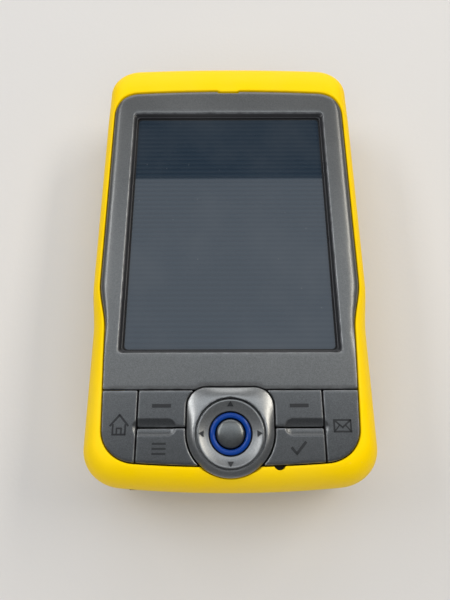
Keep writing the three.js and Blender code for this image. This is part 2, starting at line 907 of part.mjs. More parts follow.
function powerButton() {
  const y = endAt(powerAcross, topEnd, topBow);
  const [back, front] = [y - wall - 0.6, y + buttonProud - 0.1];
  const cap = endPad(back, front, powerAcross, powerHeight, powerLength, buttonHeight);
  const reach = powerLength / 2 + flangeReach;
  const rise = buttonHeight / 2 + flangeRise;
  const [low, high] = [powerHeight - rise, powerHeight + rise];
  return cap.add(box(powerAcross - reach, powerAcross + reach, y - wall - 2, y - wall - 0.55, low, high));
}

// A flap at x on one end (up is 1 at the top end, -1 at the bottom end)
function flap(x, up) {
  const outer = up > 0 ? topEnd : bottomEnd;
  const low = Math.min(outer + up, outer - up * 6);
  const high = Math.max(outer + up, outer - up * 6);
  const face = endPad(low, high, x, portHeight, flapWidth, flapHeight, 1.2);
  const skin = blank.intersect(face).subtract(blank.translate([0, -up * flapThickness, 0]));
  const root = endAt(Math.abs(x), outer, up > 0 ? topBow : bottomBow);
  const from = root - up * (flapThickness + plugDepth);
  const to = root - up * 0.8;
  const plug = rod('y', [x, 0, portHeight], plugRadius, Math.min(from, to), Math.max(from, to), 12);
  return skin.add(plug).add(thumbTab(x, up)).subtract(hingeBevel(x, up));
}

// The lip at the flap's free end, for a fingernail
function thumbTab(x, up) {
  const free = x - flapWidth / 2;
  const root = endAt(Math.abs(free), up > 0 ? topEnd : bottomEnd, up > 0 ? topBow : bottomBow);
  const [back, front] = [root - up * 0.9, root + up * tabProud];
  const [low, high] = [Math.min(back, front), Math.max(back, front)];
  return box(free + 0.4, free + 2.8, low, high, portHeight - 1, portHeight + 0.6);
}

// The flap's hinge end is bevelled at 45 degrees, so that it swings clear of the casing
function hingeBevel(x, up) {
  const [hx, hy] = flapHinge(x, up);
  const deep = hy - up * 8;
  const shape = new THREE.Shape([
    new THREE.Vector2(hx, hy),
    new THREE.Vector2(hx + 1, hy + up),
    new THREE.Vector2(hx + 1, deep),
    new THREE.Vector2(hx - 8, deep),
  ]);
  return prism(shape, 0, wide);
}

function flapHinge(x, up) {
  const hx = x + flapWidth / 2;
  return [hx, endAt(Math.abs(hx), up > 0 ? topEnd : bottomEnd, up > 0 ? topBow : bottomBow)];
}

function flapWell(x, up) {
  const outer = up > 0 ? topEnd : bottomEnd;
  const [back, out] = [outer - up * 8, outer + up * 5];
  const [low, high] = [Math.min(back, out), Math.max(back, out)];
  const face = endPad(low, high, x, portHeight, flapWidth + 2 * gap, flapHeight + 2 * gap, 1.4);
  const bore = rod('y', [x, 0, portHeight], plugRadius + gap, low, high, 12);
  return face.subtract(blank.translate([0, -up * (flapThickness + gap), 0])).add(bore);
}

function endOpenings() {
  const topY = endAt(powerAcross, topEnd, topBow);
  const stylusAxis = [halfWidth - stylusIn, 0, stylusHeight];
  const silo = rod('y', stylusAxis, stylusRadius + stylusPlay, topEnd - siloDown, wide, 20);
  const usb = endPad(bottomEnd - 5, bottomEnd + 6, usbAcross, portHeight, usbWidth + 1, usbHeight + 1, 0.6);
  const reset = rod('y', [resetAcross, 0, portHeight], resetRadius + gap, bottomEnd - 5, bottomEnd + 6, 12);
  const power = endPad(
    topY - wall - 1,
    topEnd + 5,
    powerAcross,
    powerHeight,
    powerLength + 2 * runGap,
    buttonHeight + 2 * runGap,
  );
  return [silo, usb, reset, power, flapWell(headsetAcross, -1), flapWell(antennaAcross, 1)];
}

function stylus() {
  const x = halfWidth - stylusIn;
  const end = topEnd - stylusSunk;
  const profile = [
    [0, 0],
    [0.5, 0.1],
    [stylusRadius * 0.8, 5],
    [stylusRadius, 8],
    [stylusRadius, stylusLength - 4],
    [stylusRadius + 0.25, stylusLength - 3.4],
    [stylusRadius + 0.25, stylusLength - 0.6],
    [stylusRadius - 0.3, stylusLength],
    [0, stylusLength],
  ];
  const points = profile.map(([radius, height]) => new THREE.Vector2(radius, height));
  const geometry = new THREE.LatheGeometry(points, 14);
  geometry.translate(x, end - stylusLength, stylusHeight);
  return toSolid(geometry);
}

function stylusSilo() {
  const axis = [halfWidth - stylusIn, 0, stylusHeight];
  const bore = stylusRadius + stylusPlay;
  const from = topEnd - stylusSunk - stylusLength - 1.5;
  const outer = rod('y', axis, bore + siloWall, from, topEnd - siloDown, 20);
  return outer.subtract(rod('y', axis, bore, from - 1, topEnd, 20));
}

function jack(x, up) {
  const outer = up > 0 ? topEnd : bottomEnd;
  const root = endAt(Math.abs(x), outer, up > 0 ? topBow : bottomBow);
  const near = root - up * (wall + 1.6);
  const far = root - up * (wall + 11);
  const [y0, y1] = [Math.min(near, far), Math.max(near, far)];
  const top = boardBase - gap;
  const low = top - 2 * jackRadius;
  const half = jackRadius + 0.9;
  const body = box(x - half, x + half, y0, y1, low, top);
  return body.subtract(rod('y', [x, 0, (low + top) / 2], plugRadius, y0 + 1, y1 + 1, 14));
}

function usbSocket() {
  const near = bottomEnd + wall + 0.8;
  const top = boardBase - gap;
  const low = top - usbHeight;
  const [x0, x1] = [usbAcross - usbWidth / 2, usbAcross + usbWidth / 2];
  const skin = 0.5;
  const shell = box(x0, x1, near, near + usbDepth, low, top);
  const mouth = box(x0 + skin, x1 - skin, near - 1, near + 6.5, low + skin, top - skin);
  const tongue = box(usbAcross - 2.4, usbAcross + 2.4, near + 0.8, near + 7, low + 1.5, top - 1.5);
  return shell.subtract(mouth).add(tongue);
}

function resetButton() {
  const from = bottomEnd + wall + 0.5;
  const [foot, end] = [from + 1.6, from + 2.2];
  const half = 1.6;
  const stem = rod('y', [resetAcross, 0, portHeight], resetRadius, from, end, 12);
  return stem.add(box(resetAcross - half, resetAcross + half, foot, end, portHeight - half, portHeight + half));
}

// ---- Rear casing, battery and door ----

function doorProfile(grow, low) {
  const half = doorWidth / 2 + grow;
  const neck = half - doorTongue;
  const step = doorThickness - doorTongueHeight - grow;
  const top = doorThickness + (grow > 0 ? gap : 0);
  const tongue = box(-half, half, low, doorHigh + grow, step, top);
  return tongue.add(box(-neck, neck, low, doorHigh + grow, -1, top));
}

function batteryDoor() {
  return blank.intersect(doorProfile(0, -wide));
}

function rearCasing() {
  const lower = box(-wide, wide, -wide, wide, -1, splitHeight - gap);
  const shell = cut(blank.intersect(lower), cavity);
  const bayX = batteryWidth / 2 + gap;
  const floorHigh = doorThickness + gap + bayWall;
  const floorHalf = doorWidth / 2 + gap + bayWall;
  const floor = box(-floorHalf, floorHalf, -wide, doorHigh + gap + bayWall, 0.5, floorHigh).intersect(blank);
  const bay = box(
    -bayX - bayWall,
    bayX + bayWall,
    batteryLow - gap - bayWall,
    batteryHigh + gap + bayWall,
    0.5,
    bayRoof + bayWall,
  );
  const pocket = box(-bayX, bayX, batteryLow - gap, batteryHigh + gap, -1, bayRoof);
  const contactHole = box(-8.4, 8.4, batteryHigh, batteryHigh + 4, 3.6, 9.4);
  const atScrews = (radius, from, to, sides) =>
    screws.map(([x, y]) => rod('z', [x, y, 0], radius, from, to, sides));
  const bosses = atScrews(headRadius + gap + 1, 0.5, splitHeight - gap - 0.2, 14);
  const solid = join(shell, floor, bay, ...bosses.map((boss) => boss.intersect(blank)));
  const heads = atScrews(headRadius + gap, -1, headBase + headThickness + gap, 14);
  const shanks = atScrews(screwRadius + gap, -1, splitHeight, 8);
  return cut(solid, doorProfile(gap, -wide), pocket, contactHole, ...heads, ...shanks, ...backOpenings());
}

function backOpenings() {
  const lens = rod('z', [lensAcross, backFeatureY, 0], windowRadius + gap, -1, windowThickness + 0.5 + gap, 28);
  const sight = rod('z', [lensAcross, backFeatureY, 0], 3, -1, wall + 3, 20);
  const slots = [-2, -1, 0, 1, 2].map((row) => {
    const half = 5.2 - Math.abs(row) * 1.1;
    const y = backFeatureY + row * 2.4;
    return slab(speakerAcross - half, speakerAcross + half, y - 0.55, y + 0.55, -1, wall + 3, 0.5);
  });
  return [lens, sight, ...slots];
}

function battery() {
  return slab(
    -batteryWidth / 2,
    batteryWidth / 2,
    batteryLow,
    batteryHigh,
    batteryBase,
    batteryBase + batteryThickness,
    2,
  );
}

function cameraWindow() {
  return rod('z', [lensAcross, backFeatureY, 0], windowRadius, 0.5, 0.5 + windowThickness, 28);
}

function cameraModule() {
  const base = wall + 0.4;
  const half = 4.8;
  const [x0, x1] = [lensAcross - half, lensAcross + half];
  const [y0, y1] = [backFeatureY - half, backFeatureY + half];
  const barrel = rod('z', [lensAcross, backFeatureY, 0], 3.6, base, base + 3.2, 20);
  const body = slab(x0, x1, y0, y1, base + 2.6, base + 7, 0.8);
  return barrel.add(body);
}

function speaker() {
  const base = wall + 0.4;
  return rod('z', [speakerAcross, backFeatureY, 0], speakerRadius, base, base + speakerThickness, 28);
}

function caseScrew([x, y]) {
  const head = rod('z', [x, y, 0], headRadius, headBase, headBase + headThickness, 14);
  const shank = rod('z', [x, y, 0], screwRadius, headBase, headBase + screwLength, 8);
  const drive = rod('z', [x, y, 0], 0.9, headBase - 1, headBase + 0.7, 6);
  return head.add(shank).subtract(drive);
}

// ---- The assembly ----

const collector = new THREE.Group();

function place(name, solid, material) {
  const mesh = new THREE.Mesh(toGeometry(solid), material);
  mesh.name = name;
  collector.add(mesh);
}

place('front_casing', frontCasing(), materials.yellowPlastic);
place('rear_casing', rearCasing(), materials.yellowPlastic);
place('front_plate', frontPlate(), materials.greyPlate);
keys.forEach((key) => place(key.name, keyCap(key), materials.keyGrey));
place('nav_surround', navSurround(), materials.satinSilver);
place('nav_ring', navRing(), materials.satinSilver);
place('nav_light_ring', navLightRing(), materials.blueLight);
place('nav_rocker', navRocker(), materials.darkPlastic);
place('centre_button', centreButton(), materials.satinSilver);
place('key_mat', keySupport(matTop, matThickness), materials.rubber);
place('key_board', keySupport(matTop - matThickness - gap, keyBoardThickness), materials.greenBoard);
place('touch_panel', touchPanel(), materials.screenGlass);
place('lcd_module', lcdModule(), materials.sheetSteel);
place('lcd_bracket', lcdBracket(), materials.sheetSteel);
place('main_board', mainBoard(), materials.greenBoard);
place('processor_shield', processorShield(), materials.sheetSteel);
place('radio_shield', radioShield(), materials.sheetSteel);
place('card_socket', cardSocket(), materials.sheetSteel);
place('memory_card', memoryCard(), materials.darkPlastic);
place('gps_antenna', gpsAntenna(), materials.ceramic);
place('backup_cell', backupCell(), materials.sheetSteel);
place('microphone', microphone(), materials.sheetSteel);
place('battery_contacts', batteryContacts(), materials.contactGold);
place('volume_rocker', volumeRocker(), materials.darkPlastic);
place('record_button', recordButton(), materials.darkPlastic);
place('camera_button', cameraButton(), materials.darkPlastic);
place('power_button', powerButton(), materials.darkPlastic);
place('reset_button', resetButton(), materials.darkPlastic);
place('headset_cover', flap(headsetAcross, -1), materials.rubber);
place('antenna_cover', flap(antennaAcross, 1), materials.rubber);
place('headset_jack', jack(headsetAcross, -1), materials.darkPlastic);
place('antenna_socket', jack(antennaAcross, 1), materials.contactGold);
place('usb_socket', usbSocket(), materials.sheetSteel);
place('stylus', stylus(), materials.darkPlastic);
place('stylus_silo', stylusSilo(), materials.darkPlastic);
place('battery_pack', battery(), materials.batteryWrap);
place('battery_door', batteryDoor(), materials.darkPlastic);
place('camera_window', cameraWindow(), materials.screenGlass);
place('camera_module', cameraModule(), materials.darkPlastic);
place('speaker', speaker(), materials.darkPlastic);
screws.forEach((spot, i) => place(`case_screw_${i + 1}`, caseScrew(spot), materials.sheetSteel));

export default collector;
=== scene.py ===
"""Looks of a handheld data collector: fine meshes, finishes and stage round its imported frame."""

import json
import math

import bmesh
import bpy
import numpy as np
from bpy.props import FloatProperty, FloatVectorProperty, PointerProperty
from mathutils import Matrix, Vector
from mathutils.bvhtree import BVHTree
from mathutils.geometry import delaunay_2d_cdt


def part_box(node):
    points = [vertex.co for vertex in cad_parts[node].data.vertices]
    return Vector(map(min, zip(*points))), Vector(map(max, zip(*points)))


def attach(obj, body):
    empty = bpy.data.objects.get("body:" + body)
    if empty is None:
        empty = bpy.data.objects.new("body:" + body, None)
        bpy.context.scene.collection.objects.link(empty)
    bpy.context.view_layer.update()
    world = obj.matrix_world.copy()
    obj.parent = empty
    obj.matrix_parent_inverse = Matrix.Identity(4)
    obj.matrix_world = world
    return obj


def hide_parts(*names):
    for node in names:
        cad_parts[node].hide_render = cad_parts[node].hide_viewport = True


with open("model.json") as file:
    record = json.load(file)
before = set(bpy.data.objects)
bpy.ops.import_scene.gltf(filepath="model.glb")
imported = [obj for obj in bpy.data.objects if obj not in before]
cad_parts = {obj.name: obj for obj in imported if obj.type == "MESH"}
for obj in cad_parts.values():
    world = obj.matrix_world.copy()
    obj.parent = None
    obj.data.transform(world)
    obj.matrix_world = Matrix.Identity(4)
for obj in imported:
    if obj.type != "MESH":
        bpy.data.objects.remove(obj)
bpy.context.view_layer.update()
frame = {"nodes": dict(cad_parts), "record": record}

bl_info = {
    "name": "Data Collector",
    "version": (1, 0, 0),
    "blender": (4, 5, 0),
    "location": "3D View > Sidebar > Data Collector",
    "description": "Builds the finish of a handheld data collector round its frame",
    "category": "Object",
}

# ---- Sizes in millimetres; the frame's own nodes say where things are ----


def extent(node):
    """Lowest and highest corner of a frame node, in millimetres."""
    low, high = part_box(node)
    return np.array(low) * 1000, np.array(high) * 1000


def middle(node):
    low, high = extent(node)
    return (low + high) / 2


def half_size(node):
    low, high = extent(node)
    return (high - low) / 2


def spot(x=0.0, y=0.0, z=0.0):
    return np.array([x, y, z], float)


CASING_LOW, CASING_HIGH = extent("front_casing")
HALF_WIDTH, TOP_END, BEZEL = CASING_HIGH
BOTTOM_END, SPLIT = CASING_LOW[1:]
GAP = 0.3
RUN_GAP = 0.35
WALL = 1.8
LEDGE = 27.2
KEY_FLOOR = 27.6
REACH = 200

# Rounding of the casing; pairs are for the top end and the bottom end
CORNERS = (9, 9.5)
BOWS = (0.7, 1.2)
BACK_EDGE = 5
BACK_RISE = 6
CORNER_LOSS = 0.55
INNER_CORNERS = 0.82
SHOULDERS = (6, 11, 7)
SIDE_DROP = 5.5
GRIP_DROP = 12
TOP_DROP = 6.4
WAIST = (-11, -25)
CREST = (TOP_END - 24, TOP_END - 9)

# Plate, keys and pad
PLATE_LOW, PLATE_HIGH = extent("front_plate")
SEAM = PLATE_LOW[1] - RUN_GAP / 2
PLATE_TOP = PLATE_HIGH[1]
PLATE_BOTTOM = BOTTOM_END + 6.4
PLATE_CORNERS = (7, 8)
PLATE_BOW = 0.8
# Casing left beside the plate's upper half, and how much more there is below the waist
UPPER_STRIP = 2.85
WAIST_STEP = 2.35
GRIP_TAPER = 0.045
NIB = (5.8, 0.45)
OUTER_SPLIT = 22.7
KEY_SPLIT = BOTTOM_END + 15.2
# Finger scoop: length, width, depth and distance from the middle
SCOOP = (10.6, 4.0, 0.62, 18.4)
# Thickness of the black sheet on the ledge, which is painted shade for the seams between the plate and keys
SEAM_SHADE_SHEET = 0.03
# Soft roll beside the plate's edge: width, depth and where along the body it fades in
ROLL = (1.5, 0.34)
ROLL_FADE = (-34, -22)
MICROPHONE = spot(11.6, PLATE_BOTTOM + 0.5)
NAV_X, NAV_Y = middle("nav_ring")[:2]
NAV_RADIUS = 8.12
NAV_HOLE = 5.3
DISH_END = NAV_HOLE + 0.25
SURROUND_Y = NAV_Y + 0.5
SURROUND_RADIUS = extent("nav_surround")[1][0]
SURROUND_CORNER = 4.8
SURROUND_FALL = 1.15
DISH_SLOPE = 0.24

# Screen
GLASS_LOW, GLASS_HIGH = extent("touch_panel")
GLASS_LIP = 1.6
SCREEN_LOW = GLASS_LOW[:2] + GLASS_LIP
SCREEN_HIGH = GLASS_HIGH[:2] - GLASS_LIP
SCREEN_CENTRE = (SCREEN_LOW + SCREEN_HIGH) / 2
SCREEN_HALF = (SCREEN_HIGH - SCREEN_LOW) / 2
SCREEN_DRAFT = 0.7
VIEW = (27.35, 36.0)
SEAL = (0.75, 1.25, 0.06)
LINING_DEPTH = 0.45

# Ports, buttons and covers in the sides and ends
PORT_HEIGHT = 14.9
USB_X = 1
USB_HALF = (4.35, 2.45)
RESET_X = 14
POWER_X, POWER_HEIGHT = 16, 17.4
POWER_HALF = (5.35, 2.15)
CARD_Y, CARD_HEIGHT = 18.1, 20.2
CARD_HALF = (12.2, 1.25)
STYLUS_BORE = 2.6
COVER_BORE = 1.9
PAST_END = 70
FLAPS = {"headset_cover": (-26.5, -16.5), "antenna_cover": (-22.0, -12.0)}
FLAP_WAYS = {"headset_cover": -1, "antenna_cover": 1}
HINGES = {"headset_cover": 63.75, "antenna_cover": 64.21}
FLAP_THICKNESS = 1.3

# Back: the battery bay, the door's channel, the screw posts and the lens seat
BAY_WALL = 1.4
DOOR_FRAME_HALF, DOOR_FRAME_END, DOOR_FRAME_TOP = 26, -60.5, 3.2
CHANNEL_HALF, CHANNEL_MOUTH_HALF = 24.6, 23.5
CHANNEL_LOW, CHANNEL_HIGH = 0.6, 1.8
CONTACT_WINDOW_HALF, CONTACT_WINDOW_DEPTH = 8.4, 3.7
CONTACT_WINDOW_LOW, CONTACT_WINDOW_HIGH = 3.6, 9.4
SCREW_POST, SCREW_WELL, SCREW_HOLE = 3.4, 2.4, 1.3
LENS_SEAT, LENS_HOLE = 5.3, 3.0
SLOT_PITCH = 2.4

# Each key's side, column, reach along the body, stem place and stem size
SOFT_KEY = ("inner", (KEY_SPLIT, SEAM), (16.8, 19.8), (7.0, 4.0))
LOWER_KEY = ("inner", (-REACH, KEY_SPLIT), (17.0, 10.9), (7.0, 4.0))
OUTER_KEY = ("outer", (-REACH, SEAM), (27.0, 16.2), (4.6, 8.0))
KEYS = {
    "home_key": (-1, *OUTER_KEY),
    "left_soft_key": (-1, *SOFT_KEY),
    "start_key": (-1, *LOWER_KEY),
    "right_soft_key": (1, *SOFT_KEY),
    "ok_key": (1, *LOWER_KEY),
    "mail_key": (1, *OUTER_KEY),
}

# A quarter circle as a cubic curve
ROUND = 0.552


def smooth(low, high, value):
    t = np.clip((value - low) / (high - low), 0, 1)
    return t * t * (3 - 2 * t)


# ---- Outlines, each an array of points counter-clockwise from above ----


def bezier(ends, steps):
    t = np.linspace(0, 1, steps + 1)[:, None]
    a, b, c, d = (np.array(p, float) for p in ends)
    return a * (1 - t) ** 3 + 3 * b * t * (1 - t) ** 2 + 3 * c * t * t * (1 - t) + d * t**3


def bow(x, edge, rise, steps):
    t = np.linspace(0, 1, steps + 1)
    return np.column_stack([x * (1 - 2 * t), edge + 4 * rise * t * (1 - t)])


def outline(half_at, top, bottom, corners, bows, steps=(80, 14, 64)):
    """A closed outline with straight or waisted sides, rounded corners and bowed ends."""
    sides, turns, ends = steps
    high = top - bows[0] - corners[0]
    low = bottom + bows[1] + corners[1]

    def corner(y, size, rise, up):
        side = float(half_at(np.array(y)))
        x, edge = side - size, y + up * size
        far = (x + size * ROUND, edge - up * (2 * rise / abs(x)) * ROUND * size)
        return bezier([(side, y), (side, y + up * ROUND * size), far, (x, edge)], turns)

    ys = np.linspace(low, high, sides + 1)
    right = np.column_stack([half_at(ys), ys])
    upper = corner(high, corners[0], bows[0], 1)
    lower = corner(low, corners[1], bows[1], -1)
    mirror = np.array([-1, 1])
    top_bow = bow(upper[-1][0], upper[-1][1], bows[0], ends)
    bottom_bow = bow(-lower[-1][0], lower[-1][1], -bows[1], ends)
    return np.vstack(
        [
            right,
            upper[1:],
            top_bow[1:],
            (upper * mirror)[::-1][1:],
            (right * mirror)[::-1][1:],
            (lower * mirror)[1:],
            bottom_bow[1:],
            lower[::-1][1:-1],
        ]
    )


def body_outline(side, top, bottom, share):
    return outline(
        lambda y: y * 0 + HALF_WIDTH - side,
        TOP_END - top,
        BOTTOM_END + bottom,
        (CORNERS[0] * share, CORNERS[1] * share),
        BOWS,
    )


def plate_half(y):
    grip = smooth(WAIST[0], WAIST[1], y)
    return HALF_WIDTH - UPPER_STRIP - WAIST_STEP * grip - GRIP_TAPER * np.maximum(0, WAIST[1] - y)


def plate_outline(grow):
    return outline(
        lambda y: plate_half(y) + grow,
        PLATE_TOP + grow,
        PLATE_BOTTOM - grow,
        (PLATE_CORNERS[0] + grow, PLATE_CORNERS[1] + grow),
        (PLATE_BOW, PLATE_BOW),
    )


def pocket_outline(grow):
    """The casing's edge round the plate, with its nib in the middle of the top."""
    points = plate_outline(grow)
    width, depth = NIB
    reach = smooth(width / 2 + 0.3, width / 2 - 0.3, np.abs(points[:, 0]))
    points[:, 1] -= np.where(points[:, 1] > 0, reach * depth, 0)
    return points


def arc(x, y, radius, start, end, steps):
    angle = np.radians(np.linspace(start, end, steps + 1))
    return np.column_stack([x + radius * np.cos(angle), y + radius * np.sin(angle)])


def surround_outline(grow, steps=20):
    """A half circle below and a square with round corners above."""
    radius, corner = SURROUND_RADIUS + grow, SURROUND_CORNER + grow
    x, y = radius - corner, SURROUND_Y + radius - corner
    return np.vstack(
        [
            arc(x, y, corner, 0, 90, steps),
            arc(-x, y, corner, 90, 180, steps),
            arc(0, SURROUND_Y, radius, 180, 360, steps * 4)[:-1],
        ]
    )


def rounded(half_x, half_y, corner, steps=8):
    """A rectangle about the origin with round corners."""
    x, y = half_x - corner, half_y - corner
    return np.vstack(
        [
            arc(x, -y, corner, -90, 0, steps),
            arc(x, y, corner, 0, 90, steps),
            arc(-x, y, corner, 90, 180, steps),
            arc(-x, -y, corner, 180, 270, steps),
        ]
    )


def lift(points, z):
    return np.column_stack([points, np.broadcast_to(z, len(points))])


# ---- Shells: (points, faces) in millimetres ----


def loft(rings, closed=False):
    """Skins rings of equal length, lowest first. A closed loft joins its last ring to its first."""
    count = len(rings[0])
    faces = []
    total = len(rings)
    for r in range(total if closed else total - 1):
        a, b = r * count, ((r + 1) % total) * count
        for i in range(count):
            j = (i + 1) % count
            faces.append((a + i, a + j, b + j, b + i))
    if not closed:
        faces.append(tuple(range(count))[::-1])
        faces.append(tuple(range((total - 1) * count, total * count)))
    return np.vstack(rings), faces


AXES = {
    "+x": ((0, 1, 0), (0, 0, 1), (1, 0, 0)),
    "-x": ((0, -1, 0), (0, 0, 1), (-1, 0, 0)),
    "+y": ((-1, 0, 0), (0, 0, 1), (0, 1, 0)),
    "-y": ((1, 0, 0), (0, 0, 1), (0, -1, 0)),
    "+z": ((1, 0, 0), (0, 1, 0), (0, 0, 1)),
    "-z": ((-1, 0, 0), (0, 1, 0), (0, 0, -1)),
}


def pad(facing, origin, half, corner, profile, steps=8):
    """A rounded bar facing one way. The profile gives (inset, depth) pairs from its foot to its face."""
    across, up, out = (np.array(v, float) for v in AXES[facing])
    rings = []
    for inset, depth in profile:
        plan = rounded(half[0] - inset, half[1] - inset, max(corner - inset, 0.02), steps)
        rings.append(origin + plan[:, :1] * across + plan[:, 1:] * up + depth * out)
    return loft(rings)


def rod(facing, origin, radius, profile, sides=48):
    across, up, out = (np.array(v, float) for v in AXES[facing])
    rings = []
    for inset, depth in profile:
        plan = arc(0, 0, radius - inset, 0, 360, sides)[:-1]
        rings.append(origin + plan[:, :1] * across + plan[:, 1:] * up + depth * out)
    return loft(rings)


def lathe(profile, x, y, sides=120):
    """Turns a closed outline of (radius, height) pairs round an upright axis."""
    profile = np.array(profile, float)
    angle = np.radians(np.arange(sides) * 360 / sides)
    points = [
        np.column_stack([x + profile[:, 0] * math.cos(a), y + profile[:, 0] * math.sin(a), profile[:, 1]])
        for a in angle
    ]
    count = len(profile)
    faces = []
    for s in range(sides):
        a, b = s * count, ((s + 1) % sides) * count
        for i in range(count):
            j = (i + 1) % count
            faces.append((a + i, b + i, b + j, a + j))
    return np.vstack(points), faces


def block(x0, x1, y0, y1, z0, z1):
    centre = ((x0 + x1) / 2, (y0 + y1) / 2, 0)
    return pad("+z", centre, ((x1 - x0) / 2, (y1 - y0) / 2), 0.02, [(0, z0), (0, z1)], 1)


def add_shells(*shells):
    points, faces, base = [], [], 0
    for some_points, some_faces in shells:
        points.append(some_points)
        faces += [tuple(i + base for i in face) for face in some_faces]
        base += len(some_points)
    return np.vstack(points), faces


# ---- The body's own shape ----


def drop_at(y):
    grip = smooth(WAIST[0], WAIST[1], y)
    crest = smooth(CREST[0], CREST[1], y)
    return SIDE_DROP + (GRIP_DROP - SIDE_DROP) * grip + (TOP_DROP - SIDE_DROP) * crest


def back_ring(turn):
    inset = BACK_EDGE * (1 - math.cos(math.radians(turn)))
    plan = body_outline(inset, inset, inset, 1 - (inset / CORNERS[0]) * CORNER_LOSS)
    return lift(plan, BACK_RISE * (1 - math.sin(math.radians(turn))))


def front_ring(turn):
    share = 1 - math.cos(math.radians(turn))
    plan = body_outline(*(s * share for s in SHOULDERS), 1 - CORNER_LOSS * share)
    return lift(plan, BEZEL - drop_at(plan[:, 1]) * (1 - math.sin(math.radians(turn))))


def body_blank():
    back = [back_ring(turn) for turn in range(90, -1, -6)]
    return loft(back + [front_ring(turn) for turn in range(0, 91, 3)])


BLANK = body_blank()
FRONT_TREE = BVHTree.FromPolygons([tuple(p) for p in BLANK[0]], BLANK[1])
DOWN = Vector((0, 0, -1))


def front_height(plan):
    """Height of the body's front at each plan point."""
    heights = []
    for x, y in plan:
        hit = FRONT_TREE.ray_cast(Vector((x, y, 100)), DOWN)[0]
        heights.append(hit.z if hit else SPLIT)
    return np.array(heights)


# ---- Plan fields: distance to an edge, negative inside ----


def edge_distance(points, loop):
    """Signed distance from each point to a closed outline."""
    start, end = loop, np.roll(loop, -1, axis=0)
    step = end - start
    length = (step**2).sum(1) + 1e-12
    out = []
    for part in np.array_split(points, max(1, len(points) // 4000)):
        offset = part[:, None] - start[None]
        t = np.clip((offset * step).sum(2) / length, 0, 1)
        near = ((offset - t[..., None] * step) ** 2).sum(2).min(1) ** 0.5
        crosses = (start[None, :, 1] > part[:, None, 1]) != (end[None, :, 1] > part[:, None, 1])
        rise = np.where(step[:, 1] == 0, 1e-12, step[:, 1])
        at = start[:, 0] + (part[:, None, 1] - start[:, 1]) * step[:, 0] / rise
        inside = (crosses & (part[:, None, 0] < at)).sum(1) % 2 == 1
        out.append(np.where(inside, -near, near))
    return np.concatenate(out)


def both(a, b, radius):
    """What lies inside both fields, with its corners rounded to a radius."""
    u, v = np.maximum(a + radius, 0), np.maximum(b + radius, 0)
    return np.minimum(-radius, np.maximum(a, b)) + np.hypot(u, v)


def all_of(fields, radius):
    total = fields[0]
    for field in fields[1:]:
        total = both(total, field, radius)
    return total


def slope(field, points, step=0.01):
    dx, dy = np.array([step, 0]), np.array([0, step])
    gx = field(points + dx) - field(points - dx)
    gy = field(points + dy) - field(points - dy)
    return np.column_stack([gx, gy]) / (2 * step)


CELL_EDGES = {
    1: [(3, 0)], 2: [(0, 1)], 3: [(3, 1)], 4: [(1, 2)], 5: [(3, 2), (1, 0)], 6: [(0, 2)], 7: [(3, 2)],
    8: [(2, 3)], 9: [(2, 0)], 10: [(0, 3), (2, 1)], 11: [(2, 1)], 12: [(1, 3)], 13: [(1, 0)], 14: [(0, 3)],
}


def contours(field, limits, level, spacing):
    """Closed loops where a field equals a level, evenly spaced, with the inside on their left."""
    x0, x1, y0, y1 = limits
    cell = 0.3
    xs, ys = np.arange(x0, x1 + cell, cell), np.arange(y0, y1 + cell, cell)
    grid = np.array(np.meshgrid(xs, ys, indexing="ij")).reshape(2, -1).T
    value = field(grid).reshape(len(xs), len(ys)) - level
    inside = value < 0
    code = (
        inside[:-1, :-1] * 1 + inside[1:, :-1] * 2 + inside[1:, 1:] * 4 + inside[:-1, 1:] * 8
    )
    follow, place = {}, {}

    def crossing(i, j, side):
        ends = (((0, 0), (1, 0)), ((1, 0), (1, 1)), ((0, 1), (1, 1)), ((0, 0), (0, 1)))[side]
        (a, b), (c, d) = ((i + p, j + q) for p, q in ends)
        t = value[a, b] / (value[a, b] - value[c, d])
        key = (a, b, c, d)
        place[key] = (xs[a] + t * (xs[c] - xs[a]), ys[b] + t * (ys[d] - ys[b]))
        return key

    for i, j in zip(*np.nonzero((code > 0) & (code < 15))):
        for start, end in CELL_EDGES[int(code[i, j])]:
            follow[crossing(i, j, end)] = crossing(i, j, start)
    loops = []
    while follow:
        key, after = follow.popitem()
        chain = [key]
        while after in follow:
            chain.append(after)
            after = follow.pop(after)
        loop = np.array([place[k] for k in chain])
        for _ in range(3):
            gradient = slope(field, loop)
            norm = (gradient**2).sum(1)[:, None] + 1e-9
            loop = loop - gradient * ((field(loop) - level)[:, None]) / norm
        closed = np.vstack([loop, loop[:1]])
        along = np.concatenate([[0], np.cumsum(np.hypot(*np.diff(closed, axis=0).T))])
        if along[-1] < 1:
            continue
        at = np.linspace(0, along[-1], max(12, int(along[-1] / spacing)) + 1)[:-1]
        loop = np.column_stack([np.interp(at, along, closed[:, k]) for k in (0, 1)])
        gradient = slope(field, loop)
        norm = (gradient**2).sum(1)[:, None] + 1e-9
        loops.append(loop - gradient * ((field(loop) - level)[:, None]) / norm)
    return loops


def square_grid(across, along, step):
    return np.array(np.meshgrid(np.arange(*across, step), np.arange(*along, step))).reshape(2, -1).T


